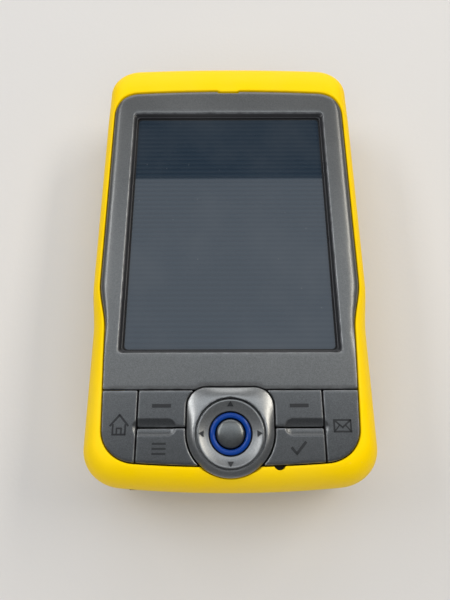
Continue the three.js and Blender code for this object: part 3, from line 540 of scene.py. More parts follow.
def cap(field, limits, height, floor, edge, grid, spacing=0.4, lean=None, extra=None):
    """A plate whose top follows a height, with a rounded edge, upright walls and a flat underside.

    lean(points) moves the foot of the wall outwards, as round an opening that narrows.
    Returns the points, the faces and how near each point is to an edge.
    """
    turns = np.radians([0, 30, 60, 90])
    insets = edge * (1 - np.cos(turns))
    points, rings = [], []
    count = 0
    for inset in insets:
        for loop in contours(field, limits, -inset, spacing):
            rings.append((inset, list(range(count, count + len(loop)))))
            points.append(loop)
            count += len(loop)
    x0, x1, y0, y1 = limits
    inner = square_grid((x0, x1), (y0, y1), grid)
    inner = inner[field(inner) < -(edge + grid * 0.45)]
    if extra is not None:
        inner = np.vstack([inner, extra[field(extra) < -edge * 1.4]])
    plan = np.vstack(points + [inner])
    edges = [(ring[k], ring[(k + 1) % len(ring)]) for _, ring in rings for k in range(len(ring))]
    result = delaunay_2d_cdt([Vector(p) for p in plan], edges, [], 0, 1e-5)
    found = np.array([tuple(v) for v in result[0]])
    triangles = np.array(result[2])
    centre = found[triangles].mean(1)
    triangles = triangles[field(centre) < -1e-4]
    near = np.clip(-field(found), 0, edge)
    fall = edge - np.sqrt(np.maximum(edge**2 - (edge - near) ** 2, 0))
    top = lift(found, height(found) - fall)
    shift = lean(found) if lean else np.zeros((len(found), 2))
    foot = lift(found + shift, floor)
    size = len(found)
    faces = [tuple(t) for t in triangles] + [tuple(t[::-1] + size) for t in triangles]
    sides = {}
    for t in triangles:
        for a, b in ((t[0], t[1]), (t[1], t[2]), (t[2], t[0])):
            sides[(a, b)] = True
    for a, b in sides:
        if (b, a) not in sides:
            faces.append((a, a + size, b + size, b))
    rim = np.concatenate([np.clip(1 - (-field(found)) / 1.2, 0, 1)] * 2)
    return np.vstack([top, foot]), faces, rim


# ---- Objects ----


def make(name, shell, turn=40, weld=True):
    """A mesh object from a shell in millimetres, with outward faces and soft shading."""
    mesh = bpy.data.meshes.new(name)
    mesh.from_pydata([tuple(p) for p in np.asarray(shell[0]) / 1000], [], shell[1])
    if len(shell) > 2:
        rim = mesh.attributes.new("rim", "FLOAT", "POINT")
        rim.data.foreach_set("value", np.asarray(shell[2], np.float32))
    work = bmesh.new()
    work.from_mesh(mesh)
    if weld:
        bmesh.ops.remove_doubles(work, verts=work.verts, dist=1e-7)
    bmesh.ops.recalc_face_normals(work, faces=work.faces)
    work.to_mesh(mesh)
    work.free()
    obj = bpy.data.objects.new(name, mesh)
    bpy.context.scene.collection.objects.link(obj)
    shade(obj, turn)
    return obj


def shade(obj, turn=40):
    obj.data.shade_smooth()
    obj.data.set_sharp_from_angle(angle=math.radians(turn))


def carve(obj, cuts=(), adds=(), keeps=(), turn=40):
    """Joins, crosses and cuts a solid with shells, in that order."""
    tools = []
    for operation, shells in (("UNION", adds), ("INTERSECT", keeps), ("DIFFERENCE", cuts)):
        for shell in shells:
            tool = make("tool", shell)
            step = obj.modifiers.new("shape", "BOOLEAN")
            step.operation = operation
            step.solver = "MANIFOLD"
            step.object = tool
            tools.append(tool)
    settle(obj)
    for tool in tools:
        bpy.data.meshes.remove(tool.data)
    if not obj.data.polygons:
        raise RuntimeError(f"nothing is left of {obj.name}")
    shade(obj, turn)
    return obj


def settle(obj):
    """Turns what an object's modifiers make into its own plain mesh."""
    bpy.context.view_layer.update()
    result = obj.evaluated_get(bpy.context.evaluated_depsgraph_get())
    mesh = bpy.data.meshes.new_from_object(result, depsgraph=bpy.context.evaluated_depsgraph_get())
    obj.modifiers.clear()
    old = obj.data
    obj.data = mesh
    bpy.data.meshes.remove(old)
    mesh.name = obj.name


def dress(obj, material):
    obj.data.materials.clear()
    obj.data.materials.append(material)


def settled(obj, body, slot, finish_name, *nodes):
    """Dresses a finished piece and ties it to its body."""
    dress(obj, FINISHES[finish_name])
    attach(obj, body)
    if nodes:
        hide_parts(*nodes)
    return obj


# ---- Shader groups: each puts out colours, masks or heights only ----


def feed(tree, socket, value):
    """Links a socket to another node's output, or sets it to a constant."""
    if isinstance(value, bpy.types.NodeSocket):
        tree.links.new(value, socket)
    else:
        socket.default_value = value


def place_node(tree, kind, inputs=None, **settings):
    node = tree.nodes.new(kind)
    for key, value in settings.items():
        setattr(node, key, value)
    for key, value in (inputs or {}).items():
        feed(tree, node.inputs[key], value)
    return node


def shader_group(name, inputs, outputs):
    """An empty group with named float or vector inputs and float outputs."""
    tree = bpy.data.node_groups.new(name, "ShaderNodeTree")
    for label, kind, value in inputs:
        socket = tree.interface.new_socket(label, in_out="INPUT", socket_type=kind)
        if value is not None:
            socket.default_value = value
    for label in outputs:
        tree.interface.new_socket(label, in_out="OUTPUT", socket_type="NodeSocketFloat")
    return tree, tree.nodes.new("NodeGroupInput").outputs, tree.nodes.new("NodeGroupOutput").inputs


def math_node(tree, operation, a, b=0.0, c=0.5, clamp=False):
    settings = {"operation": operation, "use_clamp": clamp}
    return place_node(tree, "ShaderNodeMath", {0: a, 1: b, 2: c}, **settings).outputs[0]


def noise(tree, vector, scale, detail):
    inputs = {"Vector": vector, "Scale": scale, "Detail": detail}
    return place_node(tree, "ShaderNodeTexNoise", inputs).outputs[0]


def ramp(tree, value, **ends):
    """Maps a value from one range to another. Ends that aren't given are 0 and 1."""
    inputs = {"Value": value} | {key.replace("_", " "): end for key, end in ends.items()}
    return place_node(tree, "ShaderNodeMapRange", inputs).outputs[0]


def combine(tree, **parts):
    return place_node(tree, "ShaderNodeCombineXYZ", parts).outputs[0]


VECTOR = ("Vector", "NodeSocketVector", None)


def build_grain():
    """Moulded or sprayed texture: a fine height and a broad shade."""
    tree, given, out = shader_group(
        "Surface Grain",
        [VECTOR, ("Grain Scale", "NodeSocketFloat", 3000.0), ("Mottle Scale", "NodeSocketFloat", 60.0)],
        ["Height", "Shade"],
    )
    fine = noise(tree, given["Vector"], given["Grain Scale"], 2.0)
    coarse_scale = math_node(tree, "MULTIPLY", given["Grain Scale"], 0.35)
    coarse = noise(tree, given["Vector"], coarse_scale, 1.0)
    mottle = noise(tree, given["Vector"], given["Mottle Scale"], 4.0)
    total = math_node(tree, "ADD", fine, math_node(tree, "MULTIPLY", coarse, 0.6))
    tree.links.new(total, out["Height"])
    tree.links.new(mottle, out["Shade"])
    return tree


def build_flake():
    """Metal flake in a lacquer: each small cell is lighter or darker than its neighbours."""
    tree, given, out = shader_group(
        "Metal Flake",
        [VECTOR, ("Flake Scale", "NodeSocketFloat", 4000.0), ("Contrast", "NodeSocketFloat", 0.2)],
        ["Value", "Height"],
    )
    cells = place_node(
        tree, "ShaderNodeTexVoronoi", {"Vector": given["Vector"], "Scale": given["Flake Scale"]}
    )
    tone = place_node(tree, "ShaderNodeSeparateColor", {0: cells.outputs["Color"]}).outputs[0]
    centred = math_node(tree, "SUBTRACT", tone, 0.5)
    tree.links.new(math_node(tree, "MULTIPLY_ADD", centred, given["Contrast"], 1.0), out["Value"])
    tree.links.new(tone, out["Height"])
    return tree


def build_wear():
    """Handling wear: strongest on an edge and broken up by noise."""
    tree, given, out = shader_group(
        "Edge Wear",
        [VECTOR, ("Rim", "NodeSocketFloat", 0.0), ("Amount", "NodeSocketFloat", 0.5)],
        ["Mask"],
    )
    broken = noise(tree, given["Vector"], 420.0, 5.0)
    rim = math_node(tree, "POWER", given["Rim"], 6.0)
    worn = math_node(tree, "MULTIPLY", rim, math_node(tree, "MULTIPLY", given["Amount"], 2.0))
    mask = math_node(tree, "MULTIPLY", worn, math_node(tree, "POWER", broken, 1.6), clamp=True)
    tree.links.new(mask, out["Mask"])
    return tree


def build_dust():
    """Dust and finger marks: broad smears and sparse specks."""
    tree, given, out = shader_group(
        "Dust Film",
        [VECTOR, ("Smears", "NodeSocketFloat", 0.3), ("Specks", "NodeSocketFloat", 0.3)],
        ["Mask"],
    )
    broad = noise(tree, given["Vector"], 38.0, 5.0)
    smear = ramp(tree, broad, From_Min=0.45, From_Max=0.75)
    cells = place_node(tree, "ShaderNodeTexVoronoi", {"Vector": given["Vector"], "Scale": 260.0})
    speck = ramp(tree, cells.outputs["Distance"], From_Min=0.06, From_Max=0.03)
    a = math_node(tree, "MULTIPLY", smear, given["Smears"])
    b = math_node(tree, "MULTIPLY", speck, given["Specks"])
    tree.links.new(math_node(tree, "MAXIMUM", a, b, clamp=True), out["Mask"])
    return tree


GROUPS = {}


def group(tree, builder, inputs):
    if builder not in GROUPS:
        GROUPS[builder] = builder()
    return place_node(tree, "ShaderNodeGroup", inputs, node_tree=GROUPS[builder]).outputs


def blend_colours(tree, factor, a, b):
    return place_node(tree, "ShaderNodeMix", {0: factor, 6: a, 7: b}, data_type="RGBA").outputs[2]


def bumps(tree, height, distance):
    inputs = {"Height": height, "Distance": distance, "Strength": 1.0}
    return place_node(tree, "ShaderNodeBump", inputs).outputs[0]


def solid(colour):
    return (*colour[:3], 1.0)


DUST_COLOUR = (0.45, 0.44, 0.42, 1.0)
FINISHES = {}


def blank_finish(name):
    """A new material with its tree, its surface node and the object's own coordinates."""
    material = bpy.data.materials.new(name)
    material.use_nodes = True
    FINISHES[name] = material
    tree = material.node_tree
    where = place_node(tree, "ShaderNodeTexCoord").outputs["Object"]
    return material, tree, tree.nodes["Principled BSDF"], where


def finish(
    name,
    colour,
    shade,
    rough=(0.35, 0.45),
    metallic=0.0,
    coat=0.0,
    grain=(3000.0, 0.00001),
    mottle=60.0,
    flake=0.0,
    flake_scale=4000.0,
    wear=(0.0, (0.6, 0.6, 0.6)),
    dust=(0.1, 0.15),
    brushed=None,
    specular=0.5,
):
    """A finish of a lacquer, plastic, rubber or metal. colour and shade are its lighter and darker tone."""
    material, tree, surface, where = blank_finish(name)
    if brushed:
        where = place_node(tree, "ShaderNodeMapping", {"Vector": where, "Scale": brushed}).outputs[0]
    texture = group(tree, build_grain, {"Vector": where, "Grain Scale": grain[0], "Mottle Scale": mottle})
    tone = blend_colours(tree, texture["Shade"], solid(shade), solid(colour))
    if flake:
        cells = group(tree, build_flake, {"Vector": where, "Flake Scale": flake_scale, "Contrast": flake})
        lit = place_node(tree, "ShaderNodeVectorMath", {0: tone, 1: cells["Value"]}, operation="MULTIPLY")
        tone = lit.outputs[0]
    rim = place_node(tree, "ShaderNodeAttribute", attribute_name="rim").outputs["Fac"]
    worn = group(tree, build_wear, {"Vector": where, "Rim": rim, "Amount": wear[0]})["Mask"]
    tone = blend_colours(tree, worn, tone, solid(wear[1]))
    film = group(tree, build_dust, {"Vector": where, "Smears": dust[0], "Specks": dust[1]})["Mask"]
    dusty = math_node(tree, "MULTIPLY", film, 0.25)
    tree.links.new(blend_colours(tree, dusty, tone, DUST_COLOUR), surface.inputs["Base Color"])
    spread = ramp(tree, texture["Shade"], To_Min=rough[0], To_Max=rough[1])
    rougher = math_node(tree, "MULTIPLY_ADD", film, 0.2, spread, clamp=True)
    tree.links.new(rougher, surface.inputs["Roughness"])
    tree.links.new(bumps(tree, texture["Height"], grain[1]), surface.inputs["Normal"])
    surface.inputs["Metallic"].default_value = metallic
    surface.inputs["Specular IOR Level"].default_value = specular
    surface.inputs["Coat Weight"].default_value = coat
    surface.inputs["Coat Roughness"].default_value = 0.12
    return material


def display_face():
    """The switched-off display under its clear panel: dark slate blue with fine lines across it."""
    _, tree, surface, where = blank_finish("Display face")
    rows = {"Vector": where, "Scale": 214.0, "Distortion": 0.0}
    lines = place_node(tree, "ShaderNodeTexWave", rows, bands_direction="Y").outputs["Fac"]
    texture = group(tree, build_grain, {"Vector": where, "Grain Scale": 5000.0, "Mottle Scale": 26.0})
    tone = blend_colours(tree, texture["Shade"], (0.004, 0.013, 0.025, 1), (0.006, 0.017, 0.032, 1))
    lined = blend_colours(tree, math_node(tree, "MULTIPLY", lines, 0.6), tone, (0.012, 0.024, 0.038, 1))
    film = group(tree, build_dust, {"Vector": where, "Smears": 0.3, "Specks": 0.8})["Mask"]
    dusty = blend_colours(tree, math_node(tree, "MULTIPLY", film, 0.12), lined, DUST_COLOUR)
    tree.links.new(dusty, surface.inputs["Base Color"])
    tree.links.new(ramp(tree, texture["Shade"], To_Min=0.2, To_Max=0.3), surface.inputs["Roughness"])
    surface.inputs["Specular IOR Level"].default_value = 0.15
    surface.inputs["Coat Weight"].default_value = 1.0
    surface.inputs["Coat Roughness"].default_value = 0.03
    tree.links.new(bumps(tree, lines, 0.00002), surface.inputs["Normal"])


# ---- Settings a user would change ----


def tint(label, text, value):
    return FloatVectorProperty(
        name=label, description=text, subtype="COLOR", size=3, min=0, max=1, default=value
    )


def length(label, text, value):
    return FloatProperty(name=label, description=text, unit="LENGTH", min=0, default=value, precision=5)


def power(label, text, value):
    return FloatProperty(name=label, description=text, unit="POWER", default=value)


class CasingSettings(bpy.types.PropertyGroup):
    colour: tint("Colour", "Yellow of the moulded casing", (0.98, 0.66, 0.0))
    shade: tint("Shade", "Darker tone that mottles the yellow", (0.94, 0.6, 0.0))
    lip: length("Lip radius", "Rounding of the casing's edge beside the plate", 0.00035)


class PlateSettings(bpy.types.PropertyGroup):
    colour: tint("Colour", "Grey of the front plate's lacquer", (0.14, 0.143, 0.143))
    shade: tint("Shade", "Darker tone of the lacquer", (0.118, 0.121, 0.121))
    edge: length("Edge radius", "Rounding of the plate's edges", 0.0003)
    flake: FloatProperty(
        name="Flake", description="Contrast of the metal flake", subtype="FACTOR", min=0, max=1, default=0.32
    )


class KeySettings(bpy.types.PropertyGroup):
    colour: tint("Colour", "Grey of the keys' lacquer", (0.118, 0.122, 0.125))
    shade: tint("Shade", "Darker tone of the lacquer", (0.1, 0.104, 0.107))
    mark: tint("Marks", "Ink of the printed marks", (0.012, 0.013, 0.015))
    edge: length("Edge radius", "Rounding of the keys' edges", 0.00028)


class PadSettings(bpy.types.PropertyGroup):
    colour: tint("Colour", "Silver lacquer of the navigation pad", (0.27, 0.275, 0.275))
    button: tint("Button", "Darker lacquer of the centre button", (0.15, 0.158, 0.158))
    light: tint("Light ring", "Blue of the ring round the centre button", (0.0, 0.042, 0.27))
    dish: length("Dish", "How far the ring's inner edge lies below its rim", 0.00075)


class StageSettings(bpy.types.PropertyGroup):
    floor: tint("Floor", "Pale floor under the object", (0.62, 0.6, 0.58))
    overhead: power("Overhead", "Power of the panel above", 3.45)
    fill: power("Fill", "Power of the soft fill above", 7.4)
    side: power("Sides", "Power of each side panel", 3.9)
    far: power("Far", "Power of the panel beyond the top end", 6.5)
    camera_height: length("Camera height", "Camera above the floor", 0.1506)
    tilt: FloatProperty(
        name="Tilt",
        description="Camera's lean towards the top end",
        subtype="ANGLE",
        default=math.radians(19.35),
    )


SETTINGS = {
    "collector_casing": CasingSettings,
    "collector_plate": PlateSettings,
    "collector_keys": KeySettings,
    "collector_pad": PadSettings,
    "collector_stage": StageSettings,
}


# ---- Pieces ----


def limits_of(low, high, margin=1.0):
    return (low[0] - margin, high[0] + margin, low[1] - margin, high[1] + margin)


def side_hole(facing, node, clear):
    """A cutter for a button's opening, flared where it meets the outside."""
    low, high = extent(node)
    axis = 0 if facing[1] == "x" else 1
    across = 1 - axis
    out = 1 if facing[0] == "+" else -1
    face = (high if out > 0 else low)[axis]
    centre = (low + high) / 2
    half = ((high - low)[across] / 2 - 0.8 + clear, 1.8 + clear)
    centre[axis] = 0
    depth = abs(face) - 0.4
    profile = [(0, depth - 4.2), (0, depth - 0.25), (-0.25, depth), (-0.25, depth + 3)]
    return pad(facing, centre, half, min(half) - 0.01, profile)


def end_distance(x, end):
    rise = BOWS[0] if end > 0 else BOWS[1]
    return abs(TOP_END if end > 0 else BOTTOM_END) - rise * (abs(x) / (HALF_WIDTH - CORNERS[0])) ** 2


def flap_facing(node):
    return "+y" if FLAP_WAYS[node] > 0 else "-y"


def flap_face(node, grow):
    """The bar that a rubber cover is cut from."""
    low_x, high_x = FLAPS[node]
    centre = spot((low_x + high_x) / 2, 0, middle(node)[2])
    half = ((high_x - low_x) / 2 + grow, half_size(node)[2] + grow)
    return pad(flap_facing(node), centre, half, 1.2 + grow, [(0, 57), (0, 66)])


def moved(shell, y):
    return shell[0] + spot(y=y), shell[1]


def flap_well(node):
    """A cutter for the recess that a rubber cover lies in."""
    face = make("well", flap_face(node, GAP + 0.12))
    under = moved(BLANK, -FLAP_WAYS[node] * (FLAP_THICKNESS + GAP + 0.1))
    carve(face, cuts=[under])
    points = np.array([v.co for v in face.data.vertices]) * 1000
    faces = [tuple(p.vertices) for p in face.data.polygons]
    bpy.data.meshes.remove(face.data)
    return points, faces


def flared(start, mouth, flare):
    """The profile of a hole with a small chamfer at its mouth."""
    return [(0, start), (0, mouth), (-flare, mouth + flare), (-flare, PAST_END)]


def inner_ring(z, side=0.0, ends=0.0):
    """The inside of the casing's wall at a height, drawn in further at the sides and the ends."""
    return lift(body_outline(WALL + side, WALL + ends, WALL + ends, INNER_CORNERS), z)


def surround_well():
    """A cutter for the place that the pad's surround sits in."""
    grown_by = ((GAP, LEDGE - 0.05), (GAP, 28.5), (GAP + 0.35, 29.1), (GAP + 0.35, 34))
    return loft([lift(surround_outline(grow), z) for grow, z in grown_by])


class COLLECTOR_OT_finishes(bpy.types.Operator):
    """Builds the finishes and dresses every node of the frame in its own"""

    bl_idname = "collector.finishes"
    bl_label = "Finishes"

    def execute(self, context):
        scene = context.scene
        casing, plate, keys, navigation = (
            getattr(scene, f"collector_{name}") for name in ("casing", "plate", "keys", "pad")
        )
        finish("Yellow casing", casing.colour, casing.shade, (0.38, 0.46), specular=0.06,
               grain=(2600.0, 0.000008), dust=(0.15, 0.2), mottle=45.0)
        lacquer = {"flake": plate.flake, "flake_scale": 5500.0, "grain": (5200.0, 0.000008), "mottle": 40.0}
        finish("Grey plate", plate.colour, plate.shade, (0.3, 0.38), metallic=0.75,
               wear=(0.9, (0.5, 0.51, 0.52)), **lacquer)
        finish("Grey keys", keys.colour, keys.shade, (0.3, 0.38), metallic=0.85,
               wear=(0.9, (0.42, 0.43, 0.44)), **lacquer)
        for name, tone in (("Silver pad", navigation.colour), ("Silver button", navigation.button)):
            finish(name, tone, [c * 0.82 for c in tone], (0.28, 0.36), metallic=0.85, coat=0.15,
                   flake=0.2, grain=(5200.0, 0.000004), mottle=70.0)
        finish("Blue light", navigation.light, [c * 0.7 for c in navigation.light], (0.14, 0.2), specular=0.3,
               grain=(2000.0, 0.000002))
        finish("Charcoal plastic", (0.045, 0.047, 0.05), (0.03, 0.031, 0.034), (0.5, 0.62),
               grain=(2200.0, 0.00004), wear=(0.5, (0.12, 0.12, 0.12)))
        finish("Black rubber", (0.02, 0.02, 0.021), (0.012, 0.012, 0.013), (0.7, 0.85),
               grain=(1800.0, 0.00003), dust=(0.5, 0.4))
        finish("Key ink", keys.mark, [c * 0.7 for c in keys.mark], (0.45, 0.55), dust=(0, 0))
        # This black also dresses the sheet on the ledge, painted shade for the seams between the plate and
        # keys
        finish("Seal", (0.01, 0.01, 0.011), (0.006, 0.006, 0.007), (0.7, 0.85), dust=(0.1, 0.0))
        finish("Dark border", (0.006, 0.007, 0.009), (0.004, 0.005, 0.006), (0.3, 0.4), dust=(0, 0))
        finish("Screen lining", (0.02, 0.02, 0.022), (0.014, 0.014, 0.016), (0.24, 0.34),
               grain=(4000.0, 0.000004), dust=(0.1, 0.1))
        finish("Tin plate", (0.62, 0.63, 0.64), (0.5, 0.51, 0.52), (0.25, 0.4), metallic=1.0,
               brushed=(1, 12, 1))
        finish("Steel", (0.55, 0.56, 0.57), (0.45, 0.46, 0.47), (0.22, 0.34), metallic=1.0,
               brushed=(1, 10, 1))
        finish("Green board", (0.02, 0.15, 0.06), (0.015, 0.1, 0.04), (0.35, 0.5), coat=0.4,
               flake=0.3, flake_scale=700.0)
        finish("Antenna ceramic", (0.55, 0.5, 0.42), (0.46, 0.42, 0.35), (0.5, 0.65))
        finish("Battery wrap", (0.055, 0.06, 0.07), (0.04, 0.043, 0.05), (0.35, 0.5), coat=0.2)
        finish("Gold contacts", (0.75, 0.53, 0.2), (0.65, 0.45, 0.16), (0.2, 0.3), metallic=1.0)
        finish("Touch panel", (0.006, 0.007, 0.009), (0.004, 0.005, 0.006), (0.04, 0.09),
               grain=(2000.0, 0.000001), dust=(0.1, 0.2))
        display_face()
        by_slot = {name.lower().replace(" ", "_"): material for name, material in FINISHES.items()}
        by_slot |= {"screen_glass": FINISHES["Touch panel"], "display": FINISHES["Display face"]}
        for part in frame["record"]["subparts"]:
            dress(frame["nodes"][part["node"]], by_slot[part["material_slot"]])
        return {"FINISHED"}


class COLLECTOR_OT_front_casing(bpy.types.Operator):
    """Builds the yellow front casing with its rounded front, its lip round the plate and its openings"""

    bl_idname = "collector.front_casing"
    bl_label = "Front casing"

    def execute(self, context):
        lip = context.scene.collector_casing.lip * 1000
        first = body_outline(0.15, 0.15, 0.15, 1)
        rings = [lift(first, SPLIT), lift(body_outline(0, 0, 0, 1), SPLIT + 0.15)]
        upright = [front_ring(turn) for turn in range(0, 40, 3)]
        rings += upright
        steep = upright[-1][:, :2]
        outer = pocket_outline(GAP + lip)
        for k in range(1, 16):
            plan = steep + (outer - steep) * k / 15
            rings.append(lift(plan, front_height(plan)))
        for turn in (18, 36, 54, 72, 90):
            angle = math.radians(turn)
            plan = pocket_outline(GAP + lip * (1 - math.sin(angle)))
            rings.append(lift(plan, front_height(outer) - lip * (1 - math.cos(angle))))
        shelf = pocket_outline(GAP - 1.2)
        under = LEDGE - 1.3
        rings += [lift(pocket_outline(GAP), LEDGE), lift(shelf, LEDGE), lift(shelf, under)]
        rings += [inner_ring(under, 1.3, 1.9), inner_ring(BEZEL - GRIP_DROP - 1), inner_ring(SPLIT)]
        casing = make("front_casing_shell", loft(rings, closed=True))
        carve(casing, cuts=self.pad_cuts() + self.side_cuts() + self.end_cuts())
        settled(casing, "housing", "yellow_casing", "Yellow casing", "front_casing")
        return {"FINISHED"}

    def side_cuts(self):
        buttons = (("-x", "volume_rocker"), ("-x", "record_button"), ("+x", "camera_button"))
        cuts = [side_hole(facing, node, RUN_GAP) for facing, node in buttons]
        half_long, half_tall = CARD_HALF
        slot = block(
            -REACH, -HALF_WIDTH + WALL + 1,
            CARD_Y - half_long, CARD_Y + half_long,
            CARD_HEIGHT - half_tall, CARD_HEIGHT + half_tall,
        )
        return cuts + [slot]

    def pad_cuts(self):
        """The microphone's notch, the surround's seat and room for the ring's flange to rock."""
        notch = rod("+z", MICROPHONE, 1.5, [(0, LEDGE - 1), (0, 28.9), (-0.3, 29.25), (-0.3, 34)])
        room = rod("+z", spot(NAV_X, NAV_Y), NAV_RADIUS + 1.35, [(0, LEDGE - 3), (0, LEDGE + 0.3)], 72)
        return [notch, surround_well(), room]

    def end_cuts(self):
        stylus_x, _, stylus_height = middle("stylus")
        cuts = [
            rod("+y", spot(stylus_x, 0, stylus_height), STYLUS_BORE, flared(52, 63.6, 0.3)),
            pad("+y", spot(POWER_X, 0, POWER_HEIGHT), POWER_HALF, 2.1, flared(60, 63.9, 0.2)),
            pad("-y", spot(USB_X, 0, PORT_HEIGHT), USB_HALF, 0.6, flared(59, 64.0, 0.3)),
            rod("-y", spot(RESET_X, 0, PORT_HEIGHT), 1.2, flared(59, 63.6, 0.2), 32),
        ]
        for node in FLAP_WAYS:
            centre = spot(sum(FLAPS[node]) / 2, 0, PORT_HEIGHT)
            cuts += [flap_well(node), rod(flap_facing(node), centre, COVER_BORE, [(0, 58), (0, 64)], 32)]
        return cuts


class COLLECTOR_OT_rear_casing(bpy.types.Operator):
    """Builds the yellow rear casing with the battery bay, screw wells, lens seat and speaker slots"""

    bl_idname = "collector.rear_casing"
    bl_label = "Rear casing"

    def execute(self, context):
        top = SPLIT - GAP
        rings = [back_ring(turn) for turn in range(90, -1, -6)]
        rings += [lift(body_outline(0, 0, 0, 1), top - 0.15), lift(body_outline(0.15, 0.15, 0.15, 1), top)]
        rings += [inner_ring(top), inner_ring(BACK_RISE), inner_ring(WALL + 0.1, 1.4, 1.4)]
        casing = make("rear_casing_shell", loft(rings))
        pack_low, pack_high = extent("battery_pack")
        side, upper, roof = pack_high + GAP
        lower = pack_low[1] - GAP
        wall = BAY_WALL
        door_end = extent("battery_door")[1][1]
        channel = -REACH, door_end + GAP
        screws = [middle(f"case_screw_{n}")[:2] for n in (1, 2, 3, 4)]
        adds = [
            block(-side - wall, side + wall, lower - wall, upper + wall, 1.0, roof + wall),
            block(-DOOR_FRAME_HALF, DOOR_FRAME_HALF, DOOR_FRAME_END, door_end + 1.7, 1.0, DOOR_FRAME_TOP),
        ]
        adds += [rod("+z", spot(x, y), SCREW_POST, [(0, 1.2), (0, top - 0.2)]) for x, y in screws]
        cuts = [
            block(-side, side, lower, upper, -1, roof),
            block(-CHANNEL_HALF, CHANNEL_HALF, *channel, CHANNEL_LOW, CHANNEL_HIGH),
            block(-CHANNEL_MOUTH_HALF, CHANNEL_MOUTH_HALF, *channel, -1, CHANNEL_HIGH),
            block(
                -CONTACT_WINDOW_HALF, CONTACT_WINDOW_HALF,
                upper - 1, upper + CONTACT_WINDOW_DEPTH,
                CONTACT_WINDOW_LOW, CONTACT_WINDOW_HIGH,
            ),
        ]
        for x, y in screws:
            cuts.append(rod("+z", spot(x, y), SCREW_WELL, [(-0.4, -1), (-0.4, 0), (0, 0.4), (0, 2.7)]))
            cuts.append(rod("+z", spot(x, y), SCREW_HOLE, [(0, -1), (0, 14)], 24))
        lens = spot(*middle("camera_window")[:2])
        cuts.append(rod("+z", lens, LENS_SEAT, [(-0.5, -1), (-0.5, 0), (0, 0.5), (0, 1.9)], 72))
        cuts.append(rod("+z", lens, LENS_HOLE, [(0, -1), (0, 5)]))
        cuts += speaker_slots()
        cuts.append(pad("-y", spot(USB_X, 0, PORT_HEIGHT), USB_HALF, 0.6, [(-0.3, 59), (-0.3, PAST_END)]))
        carve(casing, cuts=cuts, adds=adds, turn=32)
        settled(casing, "housing", "yellow_casing", "Yellow casing", "rear_casing")
        return {"FINISHED"}


def speaker_slots():
    x, y = middle("speaker")[:2]
    slots = []
    for row in (-2, -1, 0, 1, 2):
        half = (5.2 - abs(row) * 1.1, 0.55)
        at = spot(x, y + row * SLOT_PITCH)
        slots.append(pad("+z", at, half, 0.5, [(-0.2, -1), (-0.2, 0), (0, 0.25), (0, 5)], 6))
    return slots


# ---- Front plate and keys ----


def plate_field(points):
    return edge_distance(points, PLATE_LOOP)


def surround_field(points, grow):
    return edge_distance(points, SURROUND_LOOP) - grow


PLATE_LOOP = plate_outline(0)
SURROUND_LOOP = surround_outline(0)


def rectangle_field(points, centre, half, corner):
    q = np.abs(points - centre) - half + corner
    return np.hypot(*np.maximum(q, 0).T) + np.minimum(q.max(1), 0) - corner


def screen_field(points):
    return rectangle_field(points, SCREEN_CENTRE, SCREEN_HALF, 1.0)


def front_plate_field(points):
    nib_half = np.array([NIB[0] / 2 + GAP, 2 + NIB[1] + GAP])
    nib = rectangle_field(points, np.array([0, PLATE_TOP + 2]), nib_half, 0.2)
    fields = [plate_field(points), SEAM + RUN_GAP / 2 - points[:, 1], -surround_field(points, GAP), -nib]
    return both(all_of(fields, 0.35), -screen_field(points), 0.0)


def rolled_height(points):
    """The front's height, rolling off softly beside the plate's outline."""
    near = np.clip(1 + plate_field(points) / ROLL[0], 0, 1)
    share = smooth(*ROLL_FADE, points[:, 1])
    return front_height(points) - ROLL[1] * share * near**2


def roll_points(limits):
    loops = [contours(plate_field, limits, -ROLL[0] * share, 0.6) for share in (0.3, 0.5, 0.7, 0.9, 1.1)]
    return np.vstack([loop for found in loops for loop in found])


def screen_lean(points):
    near = np.abs(screen_field(points)) < 0.05
    return -slope(screen_field, points) * np.where(near, SCREEN_DRAFT, 0)[:, None]


class COLLECTOR_OT_front_plate(bpy.types.Operator):
    """Builds the grey front plate round the screen"""

    bl_idname = "collector.front_plate"
    bl_label = "Front plate"

    def execute(self, context):
        edge = context.scene.collector_plate.edge * 1000
        around = limits_of(PLATE_LOW, PLATE_HIGH)
        shell = cap(
            front_plate_field, around, rolled_height, KEY_FLOOR, edge, 1.0,
            lean=screen_lean, extra=roll_points(around),
        )
        plate = make("front_plate_shell", shell, weld=False)
        settled(plate, "housing", "grey_plate", "Grey plate", "front_plate")
        gauze = rod("+z", MICROPHONE, 1.45, [(0, LEDGE - 0.9), (0, 27.1), (0.1, 27.2)], 32)
        for name, part, look in (
            ("screen_trim", screen_trim(), "Screen lining"),
            # The black sheet on the ledge is painted shade: it darkens the seams between the plate and keys
            ("plate_gasket", seam_shade_sheet(), "Seal"),
            ("panel_seal", panel_seal(), "Seal"),
            ("microphone_gauze", gauze, "Seal"),
        ):
            settled(make(name, part), "housing", "black_rubber", look)
        return {"FINISHED"}


def seam_shade_sheet():
    """A thin black sheet on the ledge under the plate and keys: painted shade that darkens the seams between
    them.
    """
    outer, inner, top = GAP - 0.02, -1.6, LEDGE + SEAM_SHADE_SHEET
    steps = ((outer, LEDGE), (outer, top), (inner, top), (inner, LEDGE))
    return loft([lift(pocket_outline(grow), z) for grow, z in steps], closed=True)


def screen_ring(inset, z):
    plan = rounded(SCREEN_HALF[0] - inset, SCREEN_HALF[1] - inset, 1.0, 8) + SCREEN_CENTRE
    return lift(plan, z)


def panel_seal():
    """The black seal on the touch panel, just inside the lining."""
    outer, inner, thickness = SEAL
    low, top = GLASS_HIGH[2], GLASS_HIGH[2] + thickness
    steps = ((outer, low), (outer, top), (inner, top), (inner, low))
    return loft([screen_ring(*step) for step in steps], closed=True)


